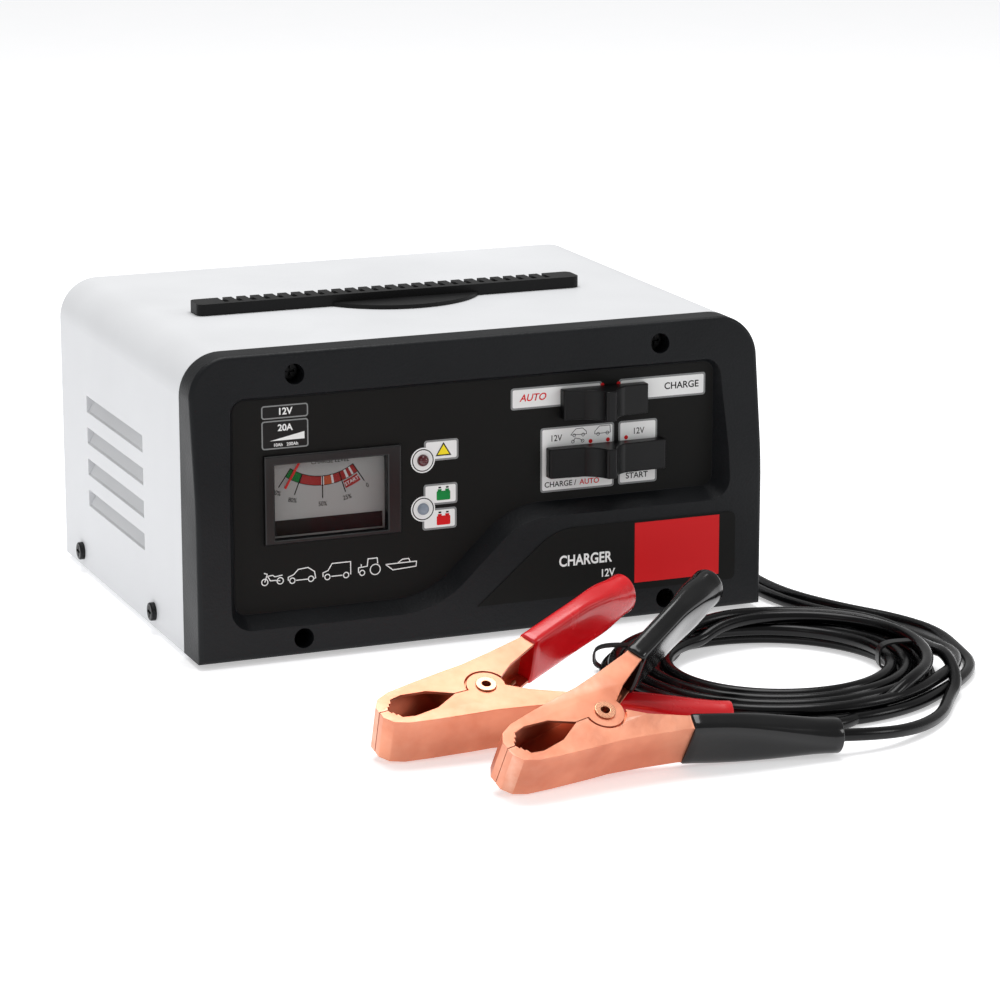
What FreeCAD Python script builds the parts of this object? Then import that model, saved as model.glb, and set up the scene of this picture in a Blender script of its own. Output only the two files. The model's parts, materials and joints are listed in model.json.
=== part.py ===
"""Car battery charger with a steel cover, a moulded control front, two charging leads and two clamps.

Millimetres, +Z up. The origin is the middle of the charger's footprint on the floor.
The controls face -Y. Every sub-part is an object of one document, bound to the sheet of sizes.
"""

import FreeCAD
import Part

import math
import os

from Sketcher import Constraint as SketchConstraint

Vector = FreeCAD.Vector
Rotation = FreeCAD.Rotation
Placement = FreeCAD.Placement

doc = FreeCAD.newDocument("battery_charger")

# ---------------------------------------------------------------- driving sizes

SIZES = {
    # case
    "case_width": 250,
    "case_depth": 174,
    "case_top": 126,
    "corner_radius": 17,
    "cover_gauge": 1.0,
    "cover_fit": 0.3,
    "foot_height": 2.0,
    "foot_radius": 8.0,
    "foot_inset_side": 22.0,
    "foot_inset_end": 14.0,
    "foot_stem_radius": 3.0,
    "flange_height": 15.0,
    "tab_width": 18.0,
    "tab_height": 16.0,
    # louvres in each side of the cover
    "louvre_count": 4,
    "louvre_length": 83.0,
    "louvre_height": 7.6,
    "louvre_pitch": 14.0,
    "louvre_first": 32.0,
    "louvre_start": 52.0,
    "louvre_depth": 4.5,
    # front moulding
    "bezel_depth": 21.0,
    "bezel_wall": 2.5,
    "bezel_knee": 65.0,
    "bezel_lean": 9.0,
    "bezel_knee_radius": 150.0,
    "bezel_fillet": 2.0,
    "label_setback": 9.0,
    "label_film": 0.3,
    "recess_draft": 4.4,
    # outline of the control label
    "label_left": 107.0,
    "label_right": 105.8,
    "label_top": 107.7,
    "label_low": 18.5,
    "label_high": 53.7,
    "label_corner": 5.0,
    "label_bend_start": -38.0,
    "label_bend_end": 27.9,
    "label_bend_radius": 36.0,
    # outline of the name label
    "name_left": -4.6,
    "name_right": 112.5,
    "name_low": 14.3,
    "name_high": 44.0,
    "name_shoulder": 36.0,
    # screws
    "screw_shank": 1.7,
    "screw_hole": 1.95,
    "screw_head": 3.9,
    "screw_head_height": 2.2,
    "screw_reach": 9.0,
    "bezel_bore": 4.15,
    "bezel_screw_x": 80.5,
    "bezel_screw_low": 9.0,
    "bezel_screw_high": 117.0,
    "bezel_bore_floor": 4.0,
    "rear_screw_low_x": 100.0,
    "side_screw_front": 40.7,
    "side_screw_rear": 147.3,
    "side_screw_z": 9.0,
    # carrying handle
    "handle_length": 174.0,
    "handle_width": 13.0,
    "handle_height": 4.8,
    "handle_front": 70.0,
    "handle_shift": -7.0,
    "handle_gap": 0.2,
    "handle_travel": 25.0,
    "handle_leg_inset": 12.0,
    "handle_leg_x": 12.0,
    "handle_leg_y": 5.0,
    "handle_leg_fit": 0.5,
    "handle_lip_length": 68.0,
    "handle_lip_reach": 18.4,
    "handle_lip_shift": 6.0,
    "handle_lip_thick": 1.6,
    "clip_height": 3.0,
    "clip_margin": 3.0,
    # slide knobs and their switches
    "knob_height": 12.6,
    "knob_gap": 0.3,
    "knob_wing": 4.7,
    "knob_ridge": 14.0,
    "knob_ridge_width": 5.0,
    "knob_stem_width": 7.0,
    "knob_stem_height": 5.0,
    "knob_stem_length": 11.0,
    "slot_fit": 0.6,
    "mode_x": 53.2,
    "mode_z": 94.9,
    "mode_left": 17.6,
    "mode_right": 20.7,
    "mode_travel": 8.0,
    "range_x": 53.6,
    "range_z": 70.5,
    "range_left": 24.3,
    "range_right": 28.7,
    "range_travel": 8.0,
    "switch_depth": 13.0,
    "switch_length": 44.0,
    "switch_height": 15.0,
    "switch_wall": 1.5,
    "slider_length": 13.0,
    "slider_depth": 8.0,
    "slider_fit": 0.3,
    # panel meter
    "meter_left": -94.0,
    "meter_right": -35.0,
    "meter_low": 47.0,
    "meter_high": 84.0,
    "window_left": -89.5,
    "window_right": -41.0,
    "window_low": 48.8,
    "window_high": 80.0,
    "meter_frame_proud": 1.6,
    "meter_lens_thick": 1.0,
    "meter_roof": 105.0,
    "meter_body_depth": 26.0,
    "meter_wall": 1.5,
    "dial_setback": 5.0,
    "dial_thick": 0.6,
    "needle_x": -67.0,
    "needle_z": 96.3,
    "needle_reach": 32.0,
    "needle_rest": 31.0,
    "needle_width": 0.9,
    "needle_thick": 0.4,
    "needle_hub": 2.6,
    "movement_radius": 8.5,
    # lamps
    "lamp_x": -25.2,
    "lamp_high": 76.2,
    "lamp_low": 55.7,
    "lamp_radius": 2.5,
    "lamp_flange": 2.95,
    "lamp_proud": 2.6,
    "lamp_fit": 0.15,
    # control board
    "board_left": -34.0,
    "board_right": 28.0,
    "board_low": 44.0,
    "board_high": 106.0,
    "board_gap": 7.6,
    "board_thick": 1.6,
    # transformer
    "core_x": -45.0,
    "core_y": 30.0,
    "core_width": 96.0,
    "core_height": 80.0,
    "core_stack": 50.0,
    "core_leg": 16.0,
    "core_base": 3.5,
    "bobbin_wall": 1.5,
    "bobbin_fit": 0.25,
    "coil_primary": 6.0,
    "coil_secondary": 5.0,
    "bracket_gauge": 1.5,
    "bracket_foot": 14.0,
    "bracket_width": 30.0,
    "bolt_radius": 2.0,
    # rectifier
    "sink_x": 72.0,
    "sink_y": 45.0,
    "sink_length": 70.0,
    "sink_height": 55.0,
    "sink_base": 4.0,
    "fin_count": 6,
    "fin_thick": 1.5,
    "fin_reach": 16.0,
    "bridge_side": 28.5,
    "bridge_thick": 9.0,
    "cutout_radius": 8.0,
    "cutout_height": 7.0,
    # fuse and terminal block
    "fuse_x": 70.0,
    "fuse_y": -30.0,
    "fuse_length": 46.0,
    "fuse_width": 16.0,
    "fuse_height": 12.0,
    "fuse_strip_width": 10.0,
    "fuse_strip_thick": 0.8,
    "block_length": 36.0,
    "block_width": 16.0,
    "block_height": 14.0,
    # cord entries in the rear panel
    "mains_x": -85.0,
    "mains_z": 30.0,
    "mains_bore": 3.5,
    "gland_reach": 13.0,
    "gland_flange": 11.0,
    "gland_body": 7.5,
    "gland_tip": 5.5,
    "gland_inner": 10.0,
    "flange_thick": 2.5,
    "lead_exit_x": 84.0,
    "lead_exit_z": 27.0,
    "lead_spread": 6.0,
    # leads and coil
    "lead_radius": 2.5,
    "coil_x": 92.5,
    "coil_y": -198.0,
    "coil_inner": 38.0,
    "coil_outer": 76.0,
    "coil_height": 11.2,
    "coil_edge": 5.2,
    "tie_width": 5.0,
    "tie_thick": 0.9,
    # clamps
    "jaw_reach": 45.0,
    "clamp_width": 19.0,
    "clamp_gauge": 1.2,
    "seam": 0.15,
    "lobe_radius": 7.5,
    "lobe_fit": 0.8,
    "ear_fit": 0.2,
    "rivet_radius": 2.6,
    "rivet_bore": 1.7,
    "rivet_head": 4.0,
    "rivet_head_thick": 0.7,
    "rivet_fit": 0.05,
    "handle_root_x": 26.5,
    "handle_root_y": 17.5,
    "handle_angle": 22.0,
    "handle_half": 3.2,
    "handle_in_sleeve": 40.0,
    "handle_in_lead": 14.0,
    "sleeve_length": 63.0,
    "sleeve_wall": 1.1,
    "sleeve_fit": 0.2,
    "lead_sleeve_end": 6.75,
    "free_sleeve_end_y": 7.0,
    "free_sleeve_end_z": 8.8,
    "spring_radius": 4.7,
    "spring_wire": 0.85,
    "spring_turns": 4,
    "spring_leg": 19.0,
    # how the clamps lie
    "black_x": -30.1,
    "black_y": -283.2,
    "black_z": 18.1,
    "black_heading": 3.5,
    "black_tilt": 32.7,
    "black_roll": 13.7,
    "red_x": -56.0,
    "red_y": -234.7,
    "red_z": 16.2,
    "red_heading": -5.5,
    "red_tilt": 23.1,
    "red_roll": 13.2,
}

sheet = doc.addObject("Spreadsheet::Sheet", "sizes")
for row, (alias, number) in enumerate(SIZES.items(), start=1):
    sheet.set(f"A{row}", alias)
    sheet.set(f"B{row}", str(number))
    sheet.setAlias(f"B{row}", alias)
doc.recompute()


class Size:
    """A length that knows both its value and the sheet expression it comes from."""

    def __init__(self, value, text):
        self.value = value
        self.text = text

    @staticmethod
    def of(item):
        return item if isinstance(item, Size) else Size(float(item), repr(float(item)))

    def _join(self, other, sign, value):
        return Size(value, f"({self.text} {sign} {other.text})")

    def __add__(self, other):
        other = Size.of(other)
        return self._join(other, "+", self.value + other.value)

    def __sub__(self, other):
        other = Size.of(other)
        return self._join(other, "-", self.value - other.value)

    def __mul__(self, other):
        other = Size.of(other)
        return self._join(other, "*", self.value * other.value)

    def __truediv__(self, other):
        other = Size.of(other)
        return self._join(other, "/", self.value / other.value)

    def __radd__(self, other):
        return Size.of(other) + self

    def __rsub__(self, other):
        return Size.of(other) - self

    def __rmul__(self, other):
        return Size.of(other) * self

    def __neg__(self):
        return Size(-self.value, f"(0 - {self.text})")

    def __float__(self):
        return float(self.value)


def size(alias):
    return Size(float(sheet.get(alias)), f"sizes.{alias}")


def bind(target, path, item):
    """Gives a property its size, and ties it to the sheet where the size comes from there."""
    if isinstance(item, Size):
        target.setExpression(path, item.text)


# ---------------------------------------------------------------- document helpers

AXES = {"XY": "XY_Plane", "XZ": "XZ_Plane", "YZ": "YZ_Plane"}
NORMAL = {"XY": 1, "XZ": -1, "YZ": 1}
nodes = []


def node(item, label):
    """Registers a finished sub-part under its node name."""
    item.Label = label
    nodes.append(item)
    return item


def body(name):
    return doc.addObject("PartDesign::Body", f"body_{name}")


def sketch_on(part, plane, at=0):
    """A sketch parallel to one of the body's origin planes, at a height along that plane's axis."""
    sketch = part.newObject("Sketcher::SketchObject", f"{part.Name}_sketch")
    for origin_plane in part.Origin.OriginFeatures:
        if origin_plane.Role == AXES[plane]:
            sketch.AttachmentSupport = [(origin_plane, "")]
    sketch.MapMode = "FlatFace"
    height = Size.of(at) * NORMAL[plane]
    sketch.AttachmentOffset = Placement(Vector(0, 0, height.value), Rotation())
    if isinstance(at, Size):
        sketch.setExpression(".AttachmentOffset.Base.z", height.text)
    return sketch


def fix_point(sketch, geometry, position, u, v):
    """Holds a sketch point at (u, v) from the sketch origin."""
    for kind, axis, item in (("DistanceX", -2, u), ("DistanceY", -1, v)):
        if abs(float(item)) < 1e-9:
            import_constraint(sketch, "PointOnObject", geometry, position, axis)
        else:
            index = import_constraint(sketch, kind, -1, 1, geometry, position, float(item))
            if isinstance(item, Size):
                sketch.setExpression(f"Constraints[{index}]", item.text)


def import_constraint(sketch, *words):
    return sketch.addConstraint(SketchConstraint(*words))


def arc_between(start, end, radius, turn):
    """The short arc from start to end; turn is +1 anticlockwise and -1 clockwise."""
    chord = end - start
    middle = (start + end) * 0.5
    side = Vector(-chord.y, chord.x, 0).normalize() * turn
    rise = math.sqrt(max(radius ** 2 - (chord.Length / 2) ** 2, 0.0))
    crown = middle - side * (radius - rise)
    return Part.Arc(start, crown, end)


def draw(sketch, path):
    """A closed outline. A vertex is (u, v), or (u, v, radius, turn) where an arc arrives at it."""
    first = sketch.GeometryCount
    ends = []
    for i, vertex in enumerate(path):
        before = path[i - 1]
        start = Vector(float(before[0]), float(before[1]), 0)
        end = Vector(float(vertex[0]), float(vertex[1]), 0)
        if len(vertex) == 2:
            sketch.addGeometry(Part.LineSegment(start, end))
            ends.append((1, 2))
        else:
            sketch.addGeometry(arc_between(start, end, float(vertex[2]), vertex[3]))
            ends.append((1, 2) if vertex[3] > 0 else (2, 1))
    for i, vertex in enumerate(path):
        following = (i + 1) % len(path)
        import_constraint(sketch, "Coincident", first + i, ends[i][1], first + following, ends[following][0])
        fix_point(sketch, first + i, ends[i][1], vertex[0], vertex[1])
        if len(vertex) == 4:
            index = import_constraint(sketch, "Radius", first + i, float(vertex[2]))
            if isinstance(vertex[2], Size):
                sketch.setExpression(f"Constraints[{index}]", vertex[2].text)
    return sketch


def circle(sketch, u, v, radius):
    index = sketch.addGeometry(Part.Circle(Vector(float(u), float(v), 0), Vector(0, 0, 1), float(radius)))
    fix_point(sketch, index, 3, u, v)
    held = import_constraint(sketch, "Radius", index, float(radius))
    if isinstance(radius, Size):
        sketch.setExpression(f"Constraints[{held}]", radius.text)


def rectangle(u0, u1, v0, v1):
    return [(u0, v0), (u1, v0), (u1, v1), (u0, v1)]


def rounded(u0, u1, v0, v1, r):
    """Rectangle with four rounded corners."""
    return [(u0 + r, v0), (u1 - r, v0), (u1, v0 + r, r, 1), (u1, v1 - r), (u1 - r, v1, r, 1),
            (u0 + r, v1), (u0, v1 - r, r, 1), (u0, v0 + r), (u0 + r, v0, r, 1)][1:]


def arched(half, base, top, r):
    """The case's end view: square at the bottom, rounded at the two top corners."""
    return [(-half, base), (half, base), (half, top - r), (half - r, top, r, 1),
            (r - half, top), (-half, top - r, r, 1)]


def extrude(kind, part, sketch, plane, length, toward):
    feature = part.newObject(f"PartDesign::{kind}", f"{part.Name}_{kind.lower()}")
    feature.Profile = sketch
    feature.Length = abs(float(length))
    bind(feature, "Length", length)
    forward = toward == NORMAL[plane]
    feature.Reversed = not forward if kind == "Pad" else forward
    sketch.Visibility = False
    doc.recompute()
    return feature


def pad(part, sketch, plane, length, toward):
    return extrude("Pad", part, sketch, plane, length, toward)


def pocket(part, sketch, plane, length, toward):
    before = part.Shape.Volume
    feature = extrude("Pocket", part, sketch, plane, length, toward)
    if part.Shape.Volume > before - 1e-3:
        raise RuntimeError(f"{part.Name}: a pocket cuts nothing")
    return feature


def slab(part, outlines, plane, start, length, toward):
    """Pad of one or more outlines from one height along the plane's axis."""
    sketch = sketch_on(part, plane, start)
    for outline in outlines:
        draw(sketch, outline)
    return pad(part, sketch, plane, length, toward)


def cutout(part, outlines, plane, start, length, toward):
    sketch = sketch_on(part, plane, start)
    for outline in outlines:
        draw(sketch, outline)
    return pocket(part, sketch, plane, length, toward)


def discs(part, centres, radius, plane, start, length, toward):
    sketch = sketch_on(part, plane, start)
    for u, v in centres:
        circle(sketch, u, v, radius)
    return pad(part, sketch, plane, length, toward)


def holes(part, centres, radius, plane, start, length, toward):
    sketch = sketch_on(part, plane, start)
    for u, v in centres:
        circle(sketch, u, v, radius)
    return pocket(part, sketch, plane, length, toward)


def fillet(part, radius, wanted):
    """Rounds the edges of the body's tip that the test accepts."""
    tip = part.Tip
    names = [f"Edge{i}" for i, edge in enumerate(tip.Shape.Edges, start=1) if wanted(edge)]
    feature = part.newObject("PartDesign::Fillet", f"{part.Name}_fillet")
    feature.Base = (tip, names)
    feature.Radius = float(radius)
    bind(feature, "Radius", radius)
    doc.recompute()
    return feature


def put(item, x, y, z):
    """Sets and binds a primitive's position."""
    item.Placement = Placement(Vector(float(x), float(y), float(z)), item.Placement.Rotation)
    for axis, value in (("x", x), ("y", y), ("z", z)):
        bind(item, f".Placement.Base.{axis}", value)
    return item


def box(name, x, y, z, length, width, height):
    item = doc.addObject("Part::Box", name)
    for prop, value in (("Length", length), ("Width", width), ("Height", height)):
        setattr(item, prop, float(value))
        bind(item, prop, value)
    return put(item, x, y, z)


TURN = {"Z": Rotation(), "Y": Rotation(Vector(1, 0, 0), -90), "X": Rotation(Vector(0, 1, 0), 90)}


def cylinder(name, x, y, z, radius, height, along="Z"):
    item = doc.addObject("Part::Cylinder", name)
    item.Radius = float(radius)
    item.Height = float(height)
    bind(item, "Radius", radius)
    bind(item, "Height", height)
    item.Placement = Placement(Vector(), TURN[along])
    return put(item, x, y, z)


def cone(name, x, y, z, radius, tip_radius, height, along="Z"):
    item = doc.addObject("Part::Cone", name)
    for prop, value in (("Radius1", radius), ("Radius2", tip_radius), ("Height", height)):
        setattr(item, prop, float(value))
        bind(item, prop, value)
    item.Placement = Placement(Vector(), TURN[along])
    return put(item, x, y, z)


def fuse(name, items):
    result = doc.addObject("Part::MultiFuse", name)
    result.Shapes = items
    return result


def cut(name, base, tool):
    result = doc.addObject("Part::Cut", name)
    result.Base = base
    result.Tool = tool
    return result


def solid(name, shape, placement=None):
    """A piece whose form is computed here, because neither sketches nor primitives fit it."""
    item = doc.addObject("Part::Feature", name)
    item.Shape = shape
    if placement is not None:
        item.Placement = placement
    return item


# ---------------------------------------------------------------- places that several pieces share

S = size
gauge = S("cover_gauge")
half_width = S("case_width") / 2
knob_front = S("knob_ridge") + S("knob_gap")
front_reach = S("bezel_depth") - S("label_setback") + knob_front
front_y = (front_reach - S("case_depth") - S("gland_reach")) / 2
rear_y = front_y + S("case_depth")
face_y = front_y - S("bezel_depth")
label_y = face_y + S("label_setback")
floor_y = label_y + S("label_film")
panel_back = floor_y + S("bezel_wall")
base_z = S("foot_height")
top_z = S("case_top")
tray_half = half_width - gauge - S("cover_fit")
deck_z = base_z + gauge
handle_mid_y = front_y + S("handle_front") + S("handle_width") / 2
handle_base = top_z + S("handle_gap")

bezel_screw_places = [(side * S("bezel_screw_x"), z) for z in (S("bezel_screw_low"), S("bezel_screw_high"))
                      for side in (-1, 1)]
rear_screw_places = [(side * S("rear_screw_low_x"), S("bezel_screw_low")) for side in (-1, 1)]
rear_screw_places += [(side * S("bezel_screw_x"), S("bezel_screw_high")) for side in (-1, 1)]
side_screw_places = [(front_y + S(f"side_screw_{end}"), S("side_screw_z")) for end in ("front", "rear")]
foot_places = [(sx * (half_width - S("foot_inset_side")), y) for sx in (-1, 1)
               for y in (front_y + S("foot_inset_end"), rear_y - S("foot_inset_end"))]
leg_offset = S("handle_length") / 2 - S("handle_leg_inset")
leg_places = [S("handle_shift") + side * leg_offset for side in (-1, 1)]


# ---------------------------------------------------------------- casing

def make_top_cover():
    """Painted sheet-steel wrap: two louvred sides and a roof, with four screw tabs folded down."""
    part = body("top_cover")
    inner = arched(half_width - gauge, base_z, top_z - gauge, S("corner_radius") - gauge)
    slab(part, [arched(half_width, base_z, top_z, S("corner_radius"))], "XZ", front_y, S("case_depth"), 1)
    cutout(part, [inner], "XZ", front_y - 1, S("case_depth") + 2, 1)

    count = int(float(S("louvre_count")))
    start = front_y + S("louvre_start")
    scoops, mouths = [], []
    for index in range(count):
        low = S("louvre_first") + index * S("louvre_pitch")
        high = low + S("louvre_height")
        for side in (-1, 1):
            wall_in = side * (half_width - gauge)
            wall_out = side * (half_width + 0.5)
            deep = side * (half_width - gauge - S("louvre_depth"))
            scoops.append([(wall_in, low - gauge), (deep, high), (side * (half_width - gauge / 2), high),
                           (side * (half_width - gauge / 2), low - gauge)])
            mouths.append([(wall_out, low), (side * (half_width - gauge), low + 0.8),
                           (side * (half_width - S("louvre_depth")), high), (wall_out, high)])
    slab(part, scoops, "XZ", start - gauge, S("louvre_length") + 2 * gauge, 1)
    cutout(part, mouths, "XZ", start, S("louvre_length"), 1)

    tabs = [rectangle(side * S("bezel_screw_x") - S("tab_width") / 2, side * S("bezel_screw_x") + S("tab_width") / 2,
                      top_z - S("tab_height"), top_z - gauge / 2) for side in (-1, 1)]
    slab(part, tabs, "XZ", front_y, gauge, 1)
    slab(part, tabs, "XZ", rear_y, gauge, -1)
    tab_holes = [(side * S("bezel_screw_x"), S("bezel_screw_high")) for side in (-1, 1)]
    holes(part, tab_holes, S("screw_hole"), "XZ", front_y - 1, S("case_depth") + 2, 1)
    holes(part, side_screw_places, S("screw_hole"), "YZ", -half_width - 1, S("case_width") + 2, 1)
    slot_x = S("handle_leg_x") / 2 + S("handle_leg_fit")
    slot_y = S("handle_leg_y") / 2 + S("handle_leg_fit")
    slots = [rectangle(x - slot_x, x + slot_x, handle_mid_y - slot_y, handle_mid_y + slot_y) for x in leg_places]
    cutout(part, slots, "XY", top_z - 2 * gauge, 3 * gauge, 1)
    return node(part, "top_cover")


def make_base_chassis():
    """Folded steel tray that carries the works, with an upturned flange on each side."""
    part = body("base_chassis")
    slab(part, [rectangle(-tray_half, tray_half, front_y, rear_y)], "XY", base_z, S("flange_height"), 1)
    cutout(part, [rectangle(gauge - tray_half, tray_half - gauge, front_y + gauge, rear_y - gauge)],
           "XY", deck_z, S("flange_height"), 1)
    low_front = [(side * S("bezel_screw_x"), S("bezel_screw_low")) for side in (-1, 1)]
    low_rear = [(side * S("rear_screw_low_x"), S("bezel_screw_low")) for side in (-1, 1)]
    holes(part, low_front, S("screw_hole"), "XZ", front_y - 1, 2 * gauge + 1, 1)
    holes(part, low_rear, S("screw_hole"), "XZ", rear_y + 1, 2 * gauge + 1, -1)
    holes(part, side_screw_places, S("screw_hole"), "YZ", -half_width, S("case_width"), 1)
    holes(part, foot_places, S("foot_stem_radius"), "XY", base_z - 1, gauge + 2, 1)
    holes(part, bolt_places(), S("bolt_radius") + 0.2, "XY", base_z - 1, gauge + 2, 1)
    pitch = 12.0
    slots = [rounded(S("core_x") - 30, S("core_x") + 30, S("core_y") + pitch * i - 3,
                     S("core_y") + pitch * i + 3, 2.5) for i in (-2, -1, 0, 1, 2)]
    cutout(part, slots, "XY", base_z - 1, gauge + 2, 1)
    return node(part, "base_chassis")


def make_rear_panel():
    """Flat steel panel at the back, held by the cover's tabs and the tray's flange."""
    part = body("rear_panel")
    inset = gauge + S("cover_fit")
    outline = arched(tray_half - gauge - 0.2, deck_z + 0.2, top_z - inset, S("corner_radius") - inset)
    slab(part, [outline], "XZ", rear_y - 2 * gauge, gauge, 1)
    holes(part, rear_screw_places, S("screw_hole"), "XZ", rear_y, 4, -1)
    holes(part, [(S("mains_x"), S("mains_z"))], S("gland_body") + 0.1, "XZ", rear_y, 4, -1)
    centres = [(x, S("lead_exit_z")) for x in lead_exits()]
    holes(part, centres, S("gland_tip") + 0.1, "XZ", rear_y, 4, -1)
    rows = [rounded(side * 52.0 - 32, side * 52.0 + 32, 56 + 10.0 * i, 60 + 10.0 * i, 1.9)
            for i in range(5) for side in (-1, 1)]
    cutout(part, rows, "XZ", rear_y, 4, -1)
    return node(part, "rear_panel")


def label_outline(grow):
    """Outline of the control recess, grown outwards: four corners and one S-shaped step."""
    left = -S("label_left").value - grow
    right = S("label_right").value + grow
    top = S("label_top").value + grow
    low = S("label_low").value - grow
    high = S("label_high").value - grow
    corner = S("label_corner").value + grow
    start = S("label_bend_start").value
    end = S("label_bend_end").value
    lower = S("label_bend_radius").value + grow
    upper = S("label_bend_radius").value - grow
    across = end - start
    rise = (high - upper) - (low + lower)
    slope = math.atan2(rise, across) + math.asin((lower + upper) / math.hypot(across, rise))
    bend_a = (start + lower * math.sin(slope), low + lower * (1 - math.cos(slope)))
    bend_b = (end - upper * math.sin(slope), high - upper * (1 - math.cos(slope)))
    return [(start, low), (bend_a[0], bend_a[1], lower, 1), bend_b, (end, high, upper, -1),
            (right - corner, high), (right, high + corner, corner, 1),
            (right, top - corner), (right - corner, top, corner, 1),
            (left + corner, top), (left, top - corner, corner, 1),
            (left, low + corner), (left + corner, low, corner, 1)]


def name_outline(shrink):
    """Outline of the name label: a straight slant up to a rounded shoulder, then flat."""
    low = S("name_low").value + shrink
    high = S("name_high").value - shrink
    right = S("name_right").value - shrink
    left = S("name_left").value + shrink
    shoulder = S("name_shoulder").value - shrink
    slant = math.radians(40.5)
    turn = 26.0
    knee = (left + (shoulder - low) / math.tan(slant), shoulder)
    flat = (knee[0] + turn * math.sin(slant), knee[1] + turn * (1 - math.cos(slant)))
    lift = high - flat[1]
    knee = (knee[0] + lift / math.tan(slant), knee[1] + lift)
    flat = (flat[0] + lift / math.tan(slant), high)
    return [(left, low), (right - 2.5, low), (right, low + 2.5, 2.5, 1), (right, high - 3.0),
            (right - 3.0, high, 3.0, 1), flat, (knee[0], knee[1], turn, 1)]


def make_front_bezel():
    """Moulded front: a leaning face, a sunk control panel, four screw wells and cut-outs."""
    part = body("front_bezel")
    slab(part, [arched(half_width, base_z, top_z, S("corner_radius"))], "XZ", front_y, S("bezel_depth"), -1)

    knee = S("bezel_knee").value
    face = face_y.value
    tilt = math.atan2(S("bezel_lean").value, top_z.value - knee)
    radius = S("bezel_knee_radius").value
    tangent = radius * math.tan(tilt / 2)
    upper = (face + tangent * math.sin(tilt), knee + tangent * math.cos(tilt))
    over = 4.0
    crest = (face + S("bezel_lean").value + over * math.tan(tilt), top_z.value + over)
    lean = [(face - over, knee - tangent), (face, knee - tangent), (upper[0], upper[1], radius, -1),
            crest, (face - over, crest[1])]
    cutout(part, [lean], "YZ", -half_width - 1, S("case_width") + 2, 1)
    fillet(part, S("bezel_fillet"), is_front_edge)

    back = [arched(half_width - S("bezel_wall"), base_z + S("bezel_wall"), top_z - S("bezel_wall"),
                   S("corner_radius") - S("bezel_wall"))]
    cutout(part, back, "XZ", front_y, front_y - panel_back, -1)
    hollow = [rectangle(40, half_width - 8, base_z + 5, 36)]
    cutout(part, hollow, "XZ", front_y, S("bezel_depth") - S("bezel_wall"), -1)

    sunk = part.newObject("PartDesign::SubtractiveLoft", "control_recess")
    deep = draw(sketch_on(part, "XZ", floor_y), label_outline(0.0))
    wide = draw(sketch_on(part, "XZ", face_y - 0.5), label_outline(S("recess_draft").value))
    sunk.Profile = deep
    sunk.Sections = [wide]
    sunk.Ruled = True
    doc.recompute()

    discs(part, bezel_screw_places, S("bezel_bore") + 2, "XZ", front_y, front_y - panel_back + 0.5, -1)
    holes(part, bezel_screw_places, S("bezel_bore"), "XZ", front_y - S("bezel_bore_floor"), S("bezel_depth"), -1)
    holes(part, bezel_screw_places, S("screw_hole"), "XZ", front_y, S("bezel_depth"), -1)

    meter = rectangle(S("meter_left") + 2, S("meter_right") - 2, S("meter_low") + 1, S("meter_high") - 1)
    slots = [knob_slot(S(f"{name}_x"), S(f"{name}_z"), low, high) for name, low, high in knob_slots()]
    cutout(part, [meter] + slots, "XZ", panel_back + 1, 5, -1)
    holes(part, lamp_places(), S("lamp_radius") + S("lamp_fit"), "XZ", panel_back + 1, 5, -1)
    return node(part, "front_bezel")


def is_front_edge(edge):
    """The outline of the moulding's face, but not its two long seams with the cover."""
    box_ = edge.BoundBox
    return box_.YMax < front_y.value - 5 and box_.XLength + box_.ZLength > 3 and box_.YLength < 20


def knob_slots():
    """Name of each slide and its travel to the left and to the right of the rest position."""
    return [("mode", 0.0, S("mode_travel")), ("range", S("range_travel"), S("range_travel"))]


def knob_slot(x, z, low, high):
    """Slot that a knob's stem slides in."""
    reach = S("knob_stem_width") / 2 + S("slot_fit")
    half = S("knob_stem_height") / 2 + S("slot_fit")
    return rectangle(x - reach - low, x + reach + high, z - half, z + half)


def lamp_places():
    return [(S("lamp_x"), S("lamp_high")), (S("lamp_x"), S("lamp_low"))]


def make_control_label():
    """Printed film on the floor of the recess, cut out for the meter, lamps and slides."""
    part = body("control_label")
    slab(part, [label_outline(-0.4)], "XZ", floor_y, S("label_film"), -1)
    meter = rectangle(S("meter_left") + 0.2, S("meter_right") - 0.2, S("meter_low") + 0.2, S("meter_high") - 0.2)
    slots = [knob_slot(S(f"{name}_x"), S(f"{name}_z"), low, high) for name, low, high in knob_slots()]
    cutout(part, [meter] + slots, "XZ", floor_y + 1, 3, -1)
    holes(part, lamp_places(), S("lamp_radius") + S("lamp_fit"), "XZ", floor_y + 1, 3, -1)
    return node(part, "control_label")


def make_name_label():
    part = body("name_label")
    slab(part, [name_outline(0.0)], "XZ", face_y, S("label_film"), -1)
    return node(part, "name_label")


def cross_recess(u, v, reach):
    """Outline of a cross-head recess."""
    arm = 0.55
    pts = [(reach, -arm), (reach, arm), (arm, arm), (arm, reach), (-arm, reach), (-arm, arm),
           (-reach, arm), (-reach, -arm), (-arm, -arm), (-arm, -reach), (arm, -reach), (arm, -arm)]
    return [(u + a, v + b) for a, b in pts]


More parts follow.
